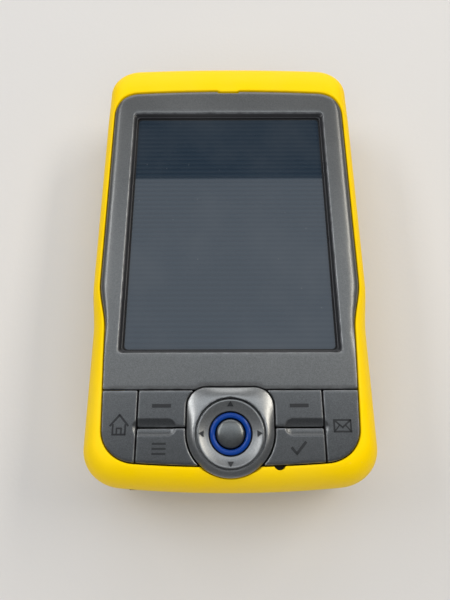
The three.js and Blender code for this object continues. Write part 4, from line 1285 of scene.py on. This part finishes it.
def screen_trim():
    """The dark lining down the wall of the screen's opening, with a thin lip at its foot."""
    base = GLASS_HIGH[2] + 0.03
    top = BEZEL - LINING_DEPTH
    steps = (
        (-0.35, base), (-0.25, top - 0.1), (0.02, top), (0.14, top - 0.06), (0.62, base + 0.62),
        (0.72, base + 0.6), (0.84, base + 0.5), (0.88, base + 0.35), (0.88, base),
    )
    return loft([screen_ring(*step) for step in steps], closed=True)


def key_field(name):
    side, column, (low, high), _, _ = KEYS[name]
    half = RUN_GAP / 2
    near, far = (OUTER_SPLIT, REACH) if column == "outer" else (0, OUTER_SPLIT)

    def field(points):
        across = points[:, 0] * side
        fields = [
            plate_field(points),
            near + half - across,
            across - far + half,
            low + half - points[:, 1],
            points[:, 1] - high + half,
            -surround_field(points, RUN_GAP),
        ]
        return all_of(fields, 0.3)

    return field


def key_height(points):
    """The front's height less the finger scoop that crosses from one inner key to the next."""
    span, width, depth, across = SCOOP
    radius = (width**2 / 4 + depth**2) / (2 * depth)
    reach = (span - width) / 2
    x = np.abs(np.abs(points[:, 0]) - across)
    away = np.hypot(np.maximum(x - reach, 0), points[:, 1] - KEY_SPLIT)
    sunk = np.sqrt(np.maximum(radius**2 - away**2, 0)) - (radius - depth)
    return front_height(points) - np.maximum(sunk, 0)


def scoop_points():
    span, width, _, across = SCOOP
    reach = width / 2 + 0.3
    along = (KEY_SPLIT - reach, KEY_SPLIT + reach)
    fine = square_grid((across - span / 2, across + span / 2 + 0.2), along, 0.2)
    return np.vstack([fine, fine * (-1, 1)])


class COLLECTOR_OT_keys(bpy.types.Operator):
    """Builds the six flush keys, with the two finger scoops"""

    bl_idname = "collector.keys"
    bl_label = "Keys"

    def execute(self, context):
        edge = context.scene.collector_keys.edge * 1000
        extra = scoop_points()
        for name, (side, _, _, (x, up), stem) in KEYS.items():
            low, high = extent(name)
            shell = cap(
                key_field(name), limits_of(low, high), key_height, KEY_FLOOR, edge, 0.45,
                spacing=0.3, extra=extra,
            )
            x, y = side * x, BOTTOM_END + up
            wide, long = stem[0] / 2, stem[1] / 2
            post = block(x - wide, x + wide, y - long, y + long, low[2], KEY_FLOOR + 0.05)
            points, faces = add_shells(shell[:2], post)
            rim = np.concatenate([shell[2], np.zeros(len(post[0]))])
            key = make(f"{name}_cap", (points, faces, rim), weld=False)
            settled(key, name, "grey_keys", "Grey keys", name)
        return {"FINISHED"}


# ---- Printed marks ----


def strip(points, width, closed=False):
    """A flat line of even width through plan points, as a loop of four-sided pieces."""
    points = np.array(points, float)
    pieces = []
    ends = list(zip(points, np.roll(points, -1, axis=0)))
    for a, b in ends if closed else ends[:-1]:
        along = (b - a) / np.hypot(*(b - a))
        across = np.array([-along[1], along[0]]) * width / 2
        a, b = a - along * width * 0.35, b + along * width * 0.35
        pieces.append([a - across, b - across, b + across, a + across])
    return pieces


def placed(x, y, *points):
    return [(x + across, y + up) for across, up in points]


def marks_for(name):
    if name == "home_key":
        at = (-26.85, -48.6)
        roof = strip(placed(*at, (-2.15, -0.1), (0, 2.4), (2.15, -0.1)), 0.5)
        walls = strip(placed(*at, (-1.5, 0.1), (-1.5, -2.2), (1.5, -2.2), (1.5, 0.1)), 0.45)
        door = strip(placed(*at, (-0.55, -2.2), (-0.55, -0.75), (0.55, -0.75), (0.55, -2.2)), 0.4)
        return roof + walls + door
    if name == "mail_key":
        at = (27.0, -48.9)
        edge = strip(placed(*at, (-2.0, -1.35), (2.0, -1.35), (2.0, 1.35), (-2.0, 1.35)), 0.45, closed=True)
        fold = strip(placed(*at, (-1.9, 1.25), (0, -0.35), (1.9, 1.25)), 0.42)
        legs = [strip(placed(*at, (s * 1.9, -1.25), (s * 0.7, 0.2)), 0.34) for s in (-1, 1)]
        return edge + fold + legs[0] + legs[1]
    if name in ("left_soft_key", "right_soft_key"):
        return strip(placed(KEYS[name][0] * 16.8, -44.05, (-2.0, 0), (2.0, 0)), 0.9)
    if name == "start_key":
        bars = [strip(placed(-17.1, -54.1 + k * 1.15, (-1.5, 0), (1.5, 0)), 0.5) for k in (-1, 0, 1)]
        return sum(bars, [])
    return strip(placed(16.2, -54.1, (-1.6, 0.1), (-0.5, -1.2), (1.7, 1.4)), 0.65)


class COLLECTOR_OT_key_marks(bpy.types.Operator):
    """Prints a plain mark on each key, as a thin film of ink"""

    bl_idname = "collector.key_marks"
    bl_label = "Key marks"

    def execute(self, context):
        film = 0.03
        for name in KEYS:
            shells = []
            for piece in marks_for(name):
                plan = np.array(piece)
                top = key_height(plan)
                shells.append(loft([lift(plan, top - film), lift(plan, top + film)]))
            mark = make(f"{name}_mark", add_shells(*shells))
            settled(mark, name, "charcoal_plastic", "Key ink")
        return {"FINISHED"}


# ---- Navigation pad ----


def surround_height(points):
    """Highest beside the ring and falling ever faster towards the outline."""
    crown = extent("nav_surround")[1][2]
    outer = np.clip(-surround_field(points, 0), 0, 9)
    inner = np.clip(np.hypot(points[:, 0] - NAV_X, points[:, 1] - NAV_Y) - NAV_RADIUS - RUN_GAP, 0, 9)
    share = inner / np.maximum(inner + outer, 1e-6)
    fall_in = np.interp(inner, [0, 0.1, 0.25], [0.12, 0.04, 0])
    return crown - SURROUND_FALL * share**1.6 - fall_in


def surround_plan(points):
    hole = NAV_RADIUS + RUN_GAP - np.hypot(points[:, 0] - NAV_X, points[:, 1] - NAV_Y)
    return both(surround_field(points, 0), hole, 0.0)


def dish_height(share, rim, dish):
    """Height of the ring's face, from its rim (0) to its inner edge (1)."""
    return rim - 0.05 - (dish - 0.05) * (1 - (1 - share) ** 1.25)


def turned(name, profile, sides=144):
    return make(name, lathe(profile, NAV_X, NAV_Y, sides))


class COLLECTOR_OT_pad(bpy.types.Operator):
    """Builds the silver surround, the dished ring, the blue light ring and the centre button"""

    bl_idname = "collector.pad"
    bl_label = "Navigation pad"

    def execute(self, context):
        settings = context.scene.collector_pad
        low, high = extent("nav_surround")
        shell = cap(
            surround_plan, limits_of(low, high), surround_height, low[2], 0.1, 0.3, spacing=0.3
        )
        surround = make("nav_surround_shell", shell, weld=False)
        settled(surround, "housing", "silver_pad", "Silver pad", "nav_surround")

        ring_low, ring_high = extent("nav_ring")
        foot, rim = ring_low[2], ring_high[2]
        dish = settings.dish * 1000
        flange, crest = NAV_RADIUS + 0.8, NAV_RADIUS - 0.5
        profile = [(NAV_HOLE, foot), (flange, foot), (flange, foot + 0.5), (NAV_RADIUS, foot + 0.5)]
        profile += [(NAV_RADIUS, rim - 0.25), (NAV_RADIUS - 0.08, rim - 0.08), (NAV_RADIUS - 0.28, rim)]
        profile += [(crest, rim - 0.05)]
        for share in np.linspace(0.12, 1, 10):
            profile.append((crest + (DISH_END - crest) * share, dish_height(share, rim, dish)))
        profile += [(NAV_HOLE + 0.06, rim - dish - 0.06), (NAV_HOLE, rim - dish - 0.25)]
        ring = turned("nav_ring_shell", profile)
        settled(ring, "nav_ring", "silver_pad", "Silver pad", "nav_ring")
        self.light()
        self.button()
        self.arrows(rim, dish)
        return {"FINISHED"}

    def light(self):
        low, high = extent("nav_light_ring")
        outer = high[0] - NAV_X
        inner = 3.72
        centre, half = (inner + outer) / 2, (outer - inner) / 2
        profile = [(inner, low[2]), (outer, low[2])]
        for turn in range(0, 181, 12):
            angle = math.radians(turn)
            profile.append((centre + half * math.cos(angle), high[2] - 0.55 + 0.55 * math.sin(angle)))
        ring = turned("nav_light_ring_shell", profile)
        settled(ring, "nav_ring", "blue_light", "Blue light", "nav_light_ring")

    def button(self):
        low, high = extent("centre_button")
        radius = high[0] - NAV_X
        top = high[2]
        profile = [(0, low[2]), (2.2, low[2]), (2.2, LEDGE), (radius, LEDGE), (radius, top - 0.95)]
        for turn in range(0, 91, 9):
            angle = math.radians(turn)
            profile.append((radius * math.cos(angle) ** 0.75, top - 0.85 + 0.85 * math.sin(angle)))
        profile[-1] = (0, top)
        button = turned("centre_button_cap", profile)
        settled(button, "centre_button", "silver_pad", "Silver button", "centre_button")

    def arrows(self, rim, dish):
        """Four dark marks on the ring, one for each way it rocks."""
        radius = 6.85
        share = (NAV_RADIUS - 0.5 - radius) / (NAV_RADIUS - 0.5 - DISH_END)
        values = {
            "Radius": radius / 1000, "Size": 0.00085, "Height": float(dish_height(share, rim, dish)) / 1000,
            "Depth": 0.00022, "Count": 4, "Finish": FINISHES["Key ink"],
        }
        tree, given = geometry_tree("Ring Marks", values)
        circle = place_node(
            tree, "GeometryNodeMeshCircle", {"Vertices": given["Count"], "Radius": given["Radius"]}
        )
        sizes = {"Radius Top": given["Size"], "Radius Bottom": given["Size"], "Depth": given["Depth"]}
        mark = place_node(tree, "GeometryNodeMeshCone", {"Vertices": 3} | sizes)
        place = place_node(tree, "GeometryNodeInputPosition").outputs[0]
        parts = place_node(tree, "ShaderNodeSeparateXYZ", {0: place}).outputs
        turn = combine(tree, Z=math_node(tree, "ARCTAN2", parts[1], parts[0]))
        rise = {"Geometry": circle.outputs[0], "Offset": combine(tree, Z=given["Height"])}
        raised = place_node(tree, "GeometryNodeSetPosition", rise)
        scatter(tree, given, raised.outputs[0], mark.outputs[0], Rotation=turn)
        marks = grown("nav_ring_marks", tree, values)
        for vertex in marks.data.vertices:
            away = math.hypot(vertex.co.x, vertex.co.y) - radius / 1000
            vertex.co += Vector((NAV_X / 1000, NAV_Y / 1000, away * DISH_SLOPE))
        settled(marks, "nav_ring", "charcoal_plastic", "Key ink")


SOCKETS = {float: "Float", int: "Int", bpy.types.Material: "Material", bpy.types.Object: "Object"}


def geometry_tree(name, values):
    """An empty geometry tree with an input for each value and one geometry output."""
    tree = bpy.data.node_groups.new(name, "GeometryNodeTree")
    tree.interface.new_socket("Geometry", in_out="OUTPUT", socket_type="NodeSocketGeometry")
    for label, value in values.items():
        kind = f"NodeSocket{SOCKETS[type(value)]}"
        tree.interface.new_socket(label, in_out="INPUT", socket_type=kind)
    return tree, tree.nodes.new("NodeGroupInput").outputs


def scatter(tree, given, points, shape, **ways):
    """Copies a shape onto points and puts the copies out as one mesh in the given finish."""
    inputs = {"Points": points, "Instance": shape} | ways
    copies = place_node(tree, "GeometryNodeInstanceOnPoints", inputs)
    whole = place_node(tree, "GeometryNodeRealizeInstances", {0: copies.outputs[0]})
    look = {"Geometry": whole.outputs[0], "Material": given["Finish"]}
    dressed = place_node(tree, "GeometryNodeSetMaterial", look)
    tree.links.new(dressed.outputs[0], tree.nodes.new("NodeGroupOutput").inputs[0])


def grown(name, tree, values):
    """Runs a geometry tree and keeps its result as a plain mesh."""
    obj = bpy.data.objects.new(name, bpy.data.meshes.new(name))
    bpy.context.scene.collection.objects.link(obj)
    modifier = obj.modifiers.new("shape", "NODES")
    modifier.node_group = tree
    for item in tree.interface.items_tree:
        if item.item_type == "SOCKET" and item.in_out == "INPUT" and item.name in values:
            modifier[item.identifier] = values[item.name]
    settle(obj)
    shade(obj)
    return obj


# ---- Screen ----


def node_slab(node, corner, bevel):
    """A plate with bevelled edges that fills a node's box."""
    low, high = extent(node)
    steps = [(bevel, low[2]), (0, low[2] + bevel), (0, high[2] - bevel), (bevel, high[2])]
    return pad("+z", spot(*middle(node)[:2]), half_size(node)[:2], corner, steps)


class COLLECTOR_OT_screen(bpy.types.Operator):
    """Builds the touch panel with the display's face bonded in it, and the display's tray"""

    bl_idname = "collector.screen"
    bl_label = "Screen"

    def execute(self, context):
        panel = make("touch_panel_glass", node_slab("touch_panel", 1.0, 0.08))
        settled(panel, "housing", "screen_glass", "Touch panel", "touch_panel")
        top = GLASS_HIGH[2]
        sheet = pad("+z", spot(*SCREEN_CENTRE), VIEW, 0.15, [(0, top - 0.05), (0, top + 0.02)], 3)
        settled(make("lcd_face", sheet), "housing", "display", "Display face")
        tray = make("lcd_tray", node_slab("lcd_module", 0.8, 0.1))
        settled(tray, "housing", "display", "Dark border", "lcd_module")
        return {"FINISHED"}


# ---- Buttons, covers and ports ----


def button_pad(facing, node):
    low, high = extent(node)
    axis = 0 if facing[1] == "x" else 1
    out = 1 if facing[0] == "+" else -1
    face = abs((high if out > 0 else low)[axis])
    back = abs((low if out > 0 else high)[axis])
    centre = (low + high) / 2
    centre[axis] = 0
    half_long, half_tall = half_size(node)[1 - axis], half_size(node)[2]
    flange = pad(facing, centre, (half_long, half_tall), 0.3, [(0, back), (0, back + 1.2)], 3)
    cap_half = (half_long - 0.8, half_tall - 0.4)
    profile = [(0, back + 1.0), (0, face - 0.5), (0.06, face - 0.28)]
    profile += [(0.2, face - 0.1), (0.42, face - 0.02), (0.7, face)]
    return flange, pad(facing, centre, cap_half, cap_half[1] - 0.01, profile, 12)


class COLLECTOR_OT_side_buttons(bpy.types.Operator):
    """Builds the volume rocker and the record, camera, power and reset buttons"""

    bl_idname = "collector.side_buttons"
    bl_label = "Side buttons"

    def execute(self, context):
        ways = {
            "volume_rocker": "-x", "record_button": "-x", "camera_button": "+x", "power_button": "+y",
        }
        for node, facing in ways.items():
            flange, face = button_pad(facing, node)
            button = make(f"{node}_cap", face)
            carve(button, adds=[flange], cuts=self.grooves(node))
            settled(button, node, "charcoal_plastic", "Charcoal plastic", node)
        low, high = extent("reset_button")
        x, _, z = middle("reset_button")
        back, face = -high[1], -low[1]
        stem = rod("-y", spot(x, 0, z), 0.9, [(0, back), (0, face - 0.15), (0.15, face)], 32)
        foot = pad("-y", spot(x, 0, z), (1.6, 1.6), 0.2, [(0, back), (0, back + 0.6)], 3)
        reset = make("reset_button_cap", stem)
        carve(reset, adds=[foot])
        settled(reset, "reset_button", "charcoal_plastic", "Charcoal plastic", "reset_button")
        return {"FINISHED"}

    def grooves(self, node):
        """Two shallow grooves that a finger can feel on the volume rocker."""
        if node != "volume_rocker":
            return []
        _, y, z = middle(node)
        face = extent(node)[0][0]
        places = [y + along for along in (-5.5, -4.5, 4.5, 5.5)]
        return [block(face - 1, face + 0.25, at - 0.25, at + 0.25, z - 1.0, z + 1.0) for at in places]


class COLLECTOR_OT_covers(bpy.types.Operator):
    """Builds the two rubber covers in the ends, each with its plug and thumb tab"""

    bl_idname = "collector.covers"
    bl_label = "Rubber covers"

    def execute(self, context):
        for node, up in FLAP_WAYS.items():
            low_x, high_x = FLAPS[node]
            facing = flap_facing(node)
            height = middle(node)[2]
            cover = make(f"{node}_rubber", flap_face(node, 0))
            carve(cover, keeps=[BLANK], cuts=[moved(BLANK, -up * FLAP_THICKNESS)])
            centre = (low_x + high_x) / 2
            face = end_distance(centre, up)
            back = face - FLAP_THICKNESS
            steps = [(0.3, back - 0.5), (0, back - 0.2), (0, face - 0.8)]
            plug = rod(facing, spot(centre, 0, height), 1.6, steps, 32)
            free = end_distance(low_x, up)
            proud = free + 0.6 if up > 0 else abs(extent(node)[0][1])
            steps = [(0, free - 0.9), (0, proud - 0.2), (0.2, proud)]
            tab = pad(facing, spot(low_x + 1.6, 0, height - 0.2), (1.2, 0.8), 0.4, steps, 4)
            carve(cover, adds=[plug, tab])
            carve(cover, cuts=self.hinge_cuts(high_x, HINGES[node], up))
            settled(cover, node, "black_rubber", "Black rubber", node)
        return {"FINISHED"}


    def hinge_cuts(self, x, y, up):
        """A bevel behind the hinge line and a chamfer in front of it, so that the cover can swing."""
        bevel = [(0, 0), (1, 1), (1, -8), (-8, -8)]
        chamfer = [(0.7, -0.9), (0.7, 1.5), (-1.7, 1.5)]
        cuts = []
        for corners in (bevel[:: -up], chamfer):
            plan = np.array([(x + across, up * (y + out)) for across, out in corners])
            cuts.append(loft([lift(plan, 0.0), lift(plan, 40.0)]))
        return cuts


class COLLECTOR_OT_stylus_and_card(bpy.types.Operator):
    """Builds the stylus and the memory card"""

    bl_idname = "collector.stylus_and_card"
    bl_label = "Stylus and card"

    def execute(self, context):
        low, high = extent("stylus")
        x, _, z = (low + high) / 2
        start, end = low[1], high[1]
        radius = 2.1
        points = [(0.02, start), (0.3, start + 0.02), (0.5, start + 0.25), (0.62, start + 0.8)]
        points += [(radius * 0.8, start + 5), (radius * 0.93, start + 6.5), (radius, start + 8)]
        for k in range(7):
            y = end - 24 + k * 2.2
            points += [(radius, y), (radius - 0.14, y + 0.35), (radius - 0.14, y + 0.85), (radius, y + 1.2)]
        head = radius + 0.25
        points += [(radius, end - 4), (head, end - 3.4), (head, end - 0.7), (radius - 0.05, end - 0.15)]
        points += [(radius - 0.5, end), (0.02, end)]
        profile = [(radius - r, y) for r, y in points]
        body = make("stylus_body", rod("+y", spot(x, 0, z), radius, profile, 48))
        settled(body, "stylus", "charcoal_plastic", "Charcoal plastic", "stylus")

        (x0, y0, z0), (x1, y1, z1) = extent("memory_card")
        plan = np.array([(x0, y0), (x1 - 3, y0), (x1, y0 + 3), (x1, y1), (x0, y1)])
        card = make("memory_card_body", loft([lift(plan, z0), lift(plan, z1)]))
        label = block(x0 + 6, x1 - 6, y0 + 2.5, y1 - 2.5, z1 - 0.12, z1 + 1)
        y = middle("memory_card")[1]
        thumb = block(x0 - 1, x0 + 0.35, y - 5, y + 5, z1 - 0.5, z1 + 1)
        carve(card, cuts=[label, thumb])
        settled(card, "memory_card", "charcoal_plastic", "Charcoal plastic", "memory_card")
        return {"FINISHED"}


# ---- Back ----


class COLLECTOR_OT_back(bpy.types.Operator):
    """Builds the case screws, and the camera's window with its ring and its lens"""

    bl_idname = "collector.back"
    bl_label = "Back details"

    def execute(self, context):
        self.screws()
        low, high = extent("camera_window")
        x, y = middle("camera_window")[:2]
        inner, outer = -high[2], -low[2]
        steps = [(0.15, inner), (0, inner + 0.15), (0, outer - 0.15), (0.15, outer)]
        window = make("camera_window_glass", rod("-z", spot(x, y), 5.0, steps, 72))
        settled(window, "housing", "screen_glass", "Touch panel", "camera_window")
        profile = [(3.1, 1.62), (4.9, 1.62), (4.9, 1.72), (3.1, 1.72)]
        mask = make("camera_mask", lathe(profile, x, y, 96))
        settled(mask, "housing", "charcoal_plastic", "Dark border")
        steps = [(0, -3.4), (0, -2.5), (0.3, -2.3), (0.8, -2.16), (1.5, -2.1)]
        lens = make("camera_lens", rod("-z", spot(x, y), 1.9, steps, 48))
        settled(lens, "housing", "screen_glass", "Blue light")
        return {"FINISHED"}

    def screws(self):
        """One recessed screw, repeated at each corner of the back."""
        nodes = [f"case_screw_{n}" for n in (1, 2, 3, 4)]
        base = extent(nodes[0])[0][2]
        shapes = [(0.0, base + 12), (-1.1, base + 1.4), (-1.1, base + 0.35), (-0.9, base + 0.1), (-0.6, base)]
        screw = make("screw_model", rod("-z", spot(), 1.0, [(inset, -z) for inset, z in shapes], 40))
        for long, wide in ((1.0, 0.22), (0.22, 1.0)):
            carve(screw, cuts=[block(-long, long, -wide, wide, base - 1, base + 0.8)])
        spots = bpy.data.meshes.new("screw_spots")
        spots.from_pydata([tuple(np.append(middle(n)[:2], 0) / 1000) for n in nodes], [], [])
        holder = bpy.data.objects.new("screw_spots", spots)
        bpy.context.scene.collection.objects.link(holder)
        values = {"Screw": screw, "Spots": holder, "Finish": FINISHES["Steel"]}
        tree, given = geometry_tree("Case Screws", values)
        model = place_node(tree, "GeometryNodeObjectInfo", {"Object": given["Screw"]})
        places = place_node(tree, "GeometryNodeObjectInfo", {"Object": given["Spots"]})
        turns = place_node(
            tree, "FunctionNodeRandomValue", {"Max": (0, 0, 3.0), "Seed": 5}, data_type="FLOAT_VECTOR"
        )
        shapes = places.outputs["Geometry"], model.outputs["Geometry"]
        scatter(tree, given, *shapes, Rotation=turns.outputs[0])
        screws = grown("case_screws", tree, values)
        bpy.data.meshes.remove(screw.data)
        bpy.data.meshes.remove(spots)
        settled(screws, "housing", "steel", "Steel", *nodes)


class COLLECTOR_OT_battery_door(bpy.types.Operator):
    """Builds the sliding battery door with its grip ridges"""

    bl_idname = "collector.battery_door"
    bl_label = "Battery door"

    def execute(self, context):
        high = extent("battery_door")[1]
        half, neck = high[0], high[0] - 1.1
        door = make("battery_door_panel", block(-half, half, -REACH, high[1], high[2] - 0.6, high[2]))
        carve(door, adds=[block(-neck, neck, -REACH, high[1], -1, high[2])])
        steps = [(-0.3, -1), (-0.3, 0), (0, 0.35)]
        groove = pad("+z", spot(0, high[1] - 12), (13, 6.6), 6.4, steps, 14)
        carve(door, keeps=[BLANK], cuts=[groove], turn=30)
        settled(door, "battery_door", "charcoal_plastic", "Charcoal plastic", "battery_door")
        self.ridges(high[1] - 12)
        return {"FINISHED"}

    def ridges(self, y):
        """Grip ridges in the door's thumb recess."""
        pitch = 1.6
        first = y - 3 * pitch
        values = {
            "Length": 0.022, "Width": 0.0007, "Pitch": pitch / 1000, "Height": 0.0004, "Count": 7,
            "Finish": FINISHES["Charcoal plastic"],
        }
        tree, given = geometry_tree("Grip Ridges", values)
        size = combine(tree, X=given["Length"], Y=given["Width"], Z=given["Height"])
        bar = place_node(tree, "GeometryNodeMeshCube", {"Size": size})
        row = {"Count": given["Count"], "Offset": combine(tree, Y=given["Pitch"])}
        line = place_node(tree, "GeometryNodeMeshLine", row)
        index = place_node(tree, "GeometryNodeInputIndex").outputs[0]
        share = math_node(tree, "DIVIDE", index, math_node(tree, "SUBTRACT", given["Count"], 1.0))
        bend = math_node(tree, "SINE", math_node(tree, "MULTIPLY", share, math.pi))
        scale = combine(tree, X=math_node(tree, "MULTIPLY_ADD", bend, 0.35, 0.65), Y=1.0, Z=1.0)
        scatter(tree, given, line.outputs[0], bar.outputs[0], Scale=scale)
        bars = grown("door_ridges", tree, values)
        for vertex in bars.data.vertices:
            vertex.co += Vector((0, first / 1000, 0.00022))
            if vertex.co.z < 0.0002:
                centre = round((vertex.co.y * 1000 - first) / pitch) * pitch + first
                vertex.co.y += (centre / 1000 - vertex.co.y) * 0.5
        settled(bars, "battery_door", "charcoal_plastic", "Charcoal plastic")


# ---- Stage ----

COOL = (0.9, 0.95, 1.0)
WARM = (1.0, 0.94, 0.84)


class COLLECTOR_OT_stage(bpy.types.Operator):
    """Lays the floor and places the lights and the camera"""

    bl_idname = "collector.stage"
    bl_label = "Stage"

    def execute(self, context):
        scene = context.scene
        settings = scene.collector_stage
        half = 2000
        plan = rounded(half, half, 50, 6)
        floor = make("floor", loft([lift(plan, -2.0), lift(plan, -0.02)]))
        material = finish("Floor", settings.floor, [c * 0.96 for c in settings.floor], (0.55, 0.65),
                          grain=(700.0, 0.00003), mottle=9.0, dust=(0.0, 0.0))
        floor.data.materials.append(material)
        self.panel("overhead", (0, 0.355, 1.0), (0, 0), (1.3, 0.61), settings.overhead, COOL)
        self.panel("left", (-0.75, 0.45, 0.75), (0, -45), (0.2, 0.8), settings.side)
        self.panel("right", (0.75, 0.45, 0.75), (0, 45), (0.2, 0.8), settings.side * 1.4, WARM)
        fill = self.panel("fill", (0, -0.7, 0.95), (36, 0), (1.4, 0.9), settings.fill)
        fill.visible_glossy = False
        self.panel("far", (0, 1.25, 0.5), (-72, 0), (1.6, 0.7), settings.far)
        world = bpy.data.worlds.new("Studio")
        world.use_nodes = True
        background = world.node_tree.nodes["Background"].inputs
        background["Color"].default_value = (0.75, 0.8, 0.88, 1)
        background["Strength"].default_value = 0.16
        scene.world = world
        scene.view_settings.view_transform = "Standard"
        lens = bpy.data.cameras.new("Camera")
        lens.sensor_width = 36
        lens.lens = 29.4
        lens.clip_start = 0.005
        camera = bpy.data.objects.new("Camera", lens)
        camera.location = (-0.00136, -0.05934, settings.camera_height)
        camera.rotation_euler = (settings.tilt, 0, math.radians(-0.17))
        scene.collection.objects.link(camera)
        scene.camera = camera
        return {"FINISHED"}

    def panel(self, name, place, tilt, size, strength, colour=(1, 1, 1)):
        """A soft rectangular light, tilted in degrees about X and Y."""
        light = bpy.data.lights.new(name, "AREA")
        light.color = colour
        light.shape = "RECTANGLE"
        light.size, light.size_y = size
        light.energy = strength
        obj = bpy.data.objects.new(name, light)
        obj.location = place
        obj.rotation_euler = (math.radians(tilt[0]), math.radians(tilt[1]), 0)
        bpy.context.scene.collection.objects.link(obj)
        return obj


class COLLECTOR_PT_panel(bpy.types.Panel):
    """Lists the settings and the steps that build the data collector"""

    bl_label = "Data Collector"
    bl_idname = "COLLECTOR_PT_panel"
    bl_space_type = "VIEW_3D"
    bl_region_type = "UI"
    bl_category = "Data Collector"

    def draw(self, context):
        layout = self.layout
        for name, settings in SETTINGS.items():
            box = layout.box()
            box.label(text=settings.__name__.replace("Settings", ""))
            for key in settings.__annotations__:
                box.prop(getattr(context.scene, name), key)
        for step in STEPS:
            layout.operator(step.bl_idname)


STEPS = (
    COLLECTOR_OT_finishes,
    COLLECTOR_OT_front_casing,
    COLLECTOR_OT_rear_casing,
    COLLECTOR_OT_front_plate,
    COLLECTOR_OT_keys,
    COLLECTOR_OT_key_marks,
    COLLECTOR_OT_pad,
    COLLECTOR_OT_screen,
    COLLECTOR_OT_side_buttons,
    COLLECTOR_OT_covers,
    COLLECTOR_OT_stylus_and_card,
    COLLECTOR_OT_back,
    COLLECTOR_OT_battery_door,
    COLLECTOR_OT_stage,
)
CLASSES = (*SETTINGS.values(), *STEPS, COLLECTOR_PT_panel)


def register():
    for kind in CLASSES:
        bpy.utils.register_class(kind)
    for name, settings in SETTINGS.items():
        setattr(bpy.types.Scene, name, PointerProperty(type=settings))


def unregister():
    for name in SETTINGS:
        delattr(bpy.types.Scene, name)
    for kind in reversed(CLASSES):
        bpy.utils.unregister_class(kind)


def main():
    register()
    for step in STEPS:
        area, name = step.bl_idname.split(".")
        getattr(getattr(bpy.ops, area), name)()


if __name__ == "__main__":
    main()
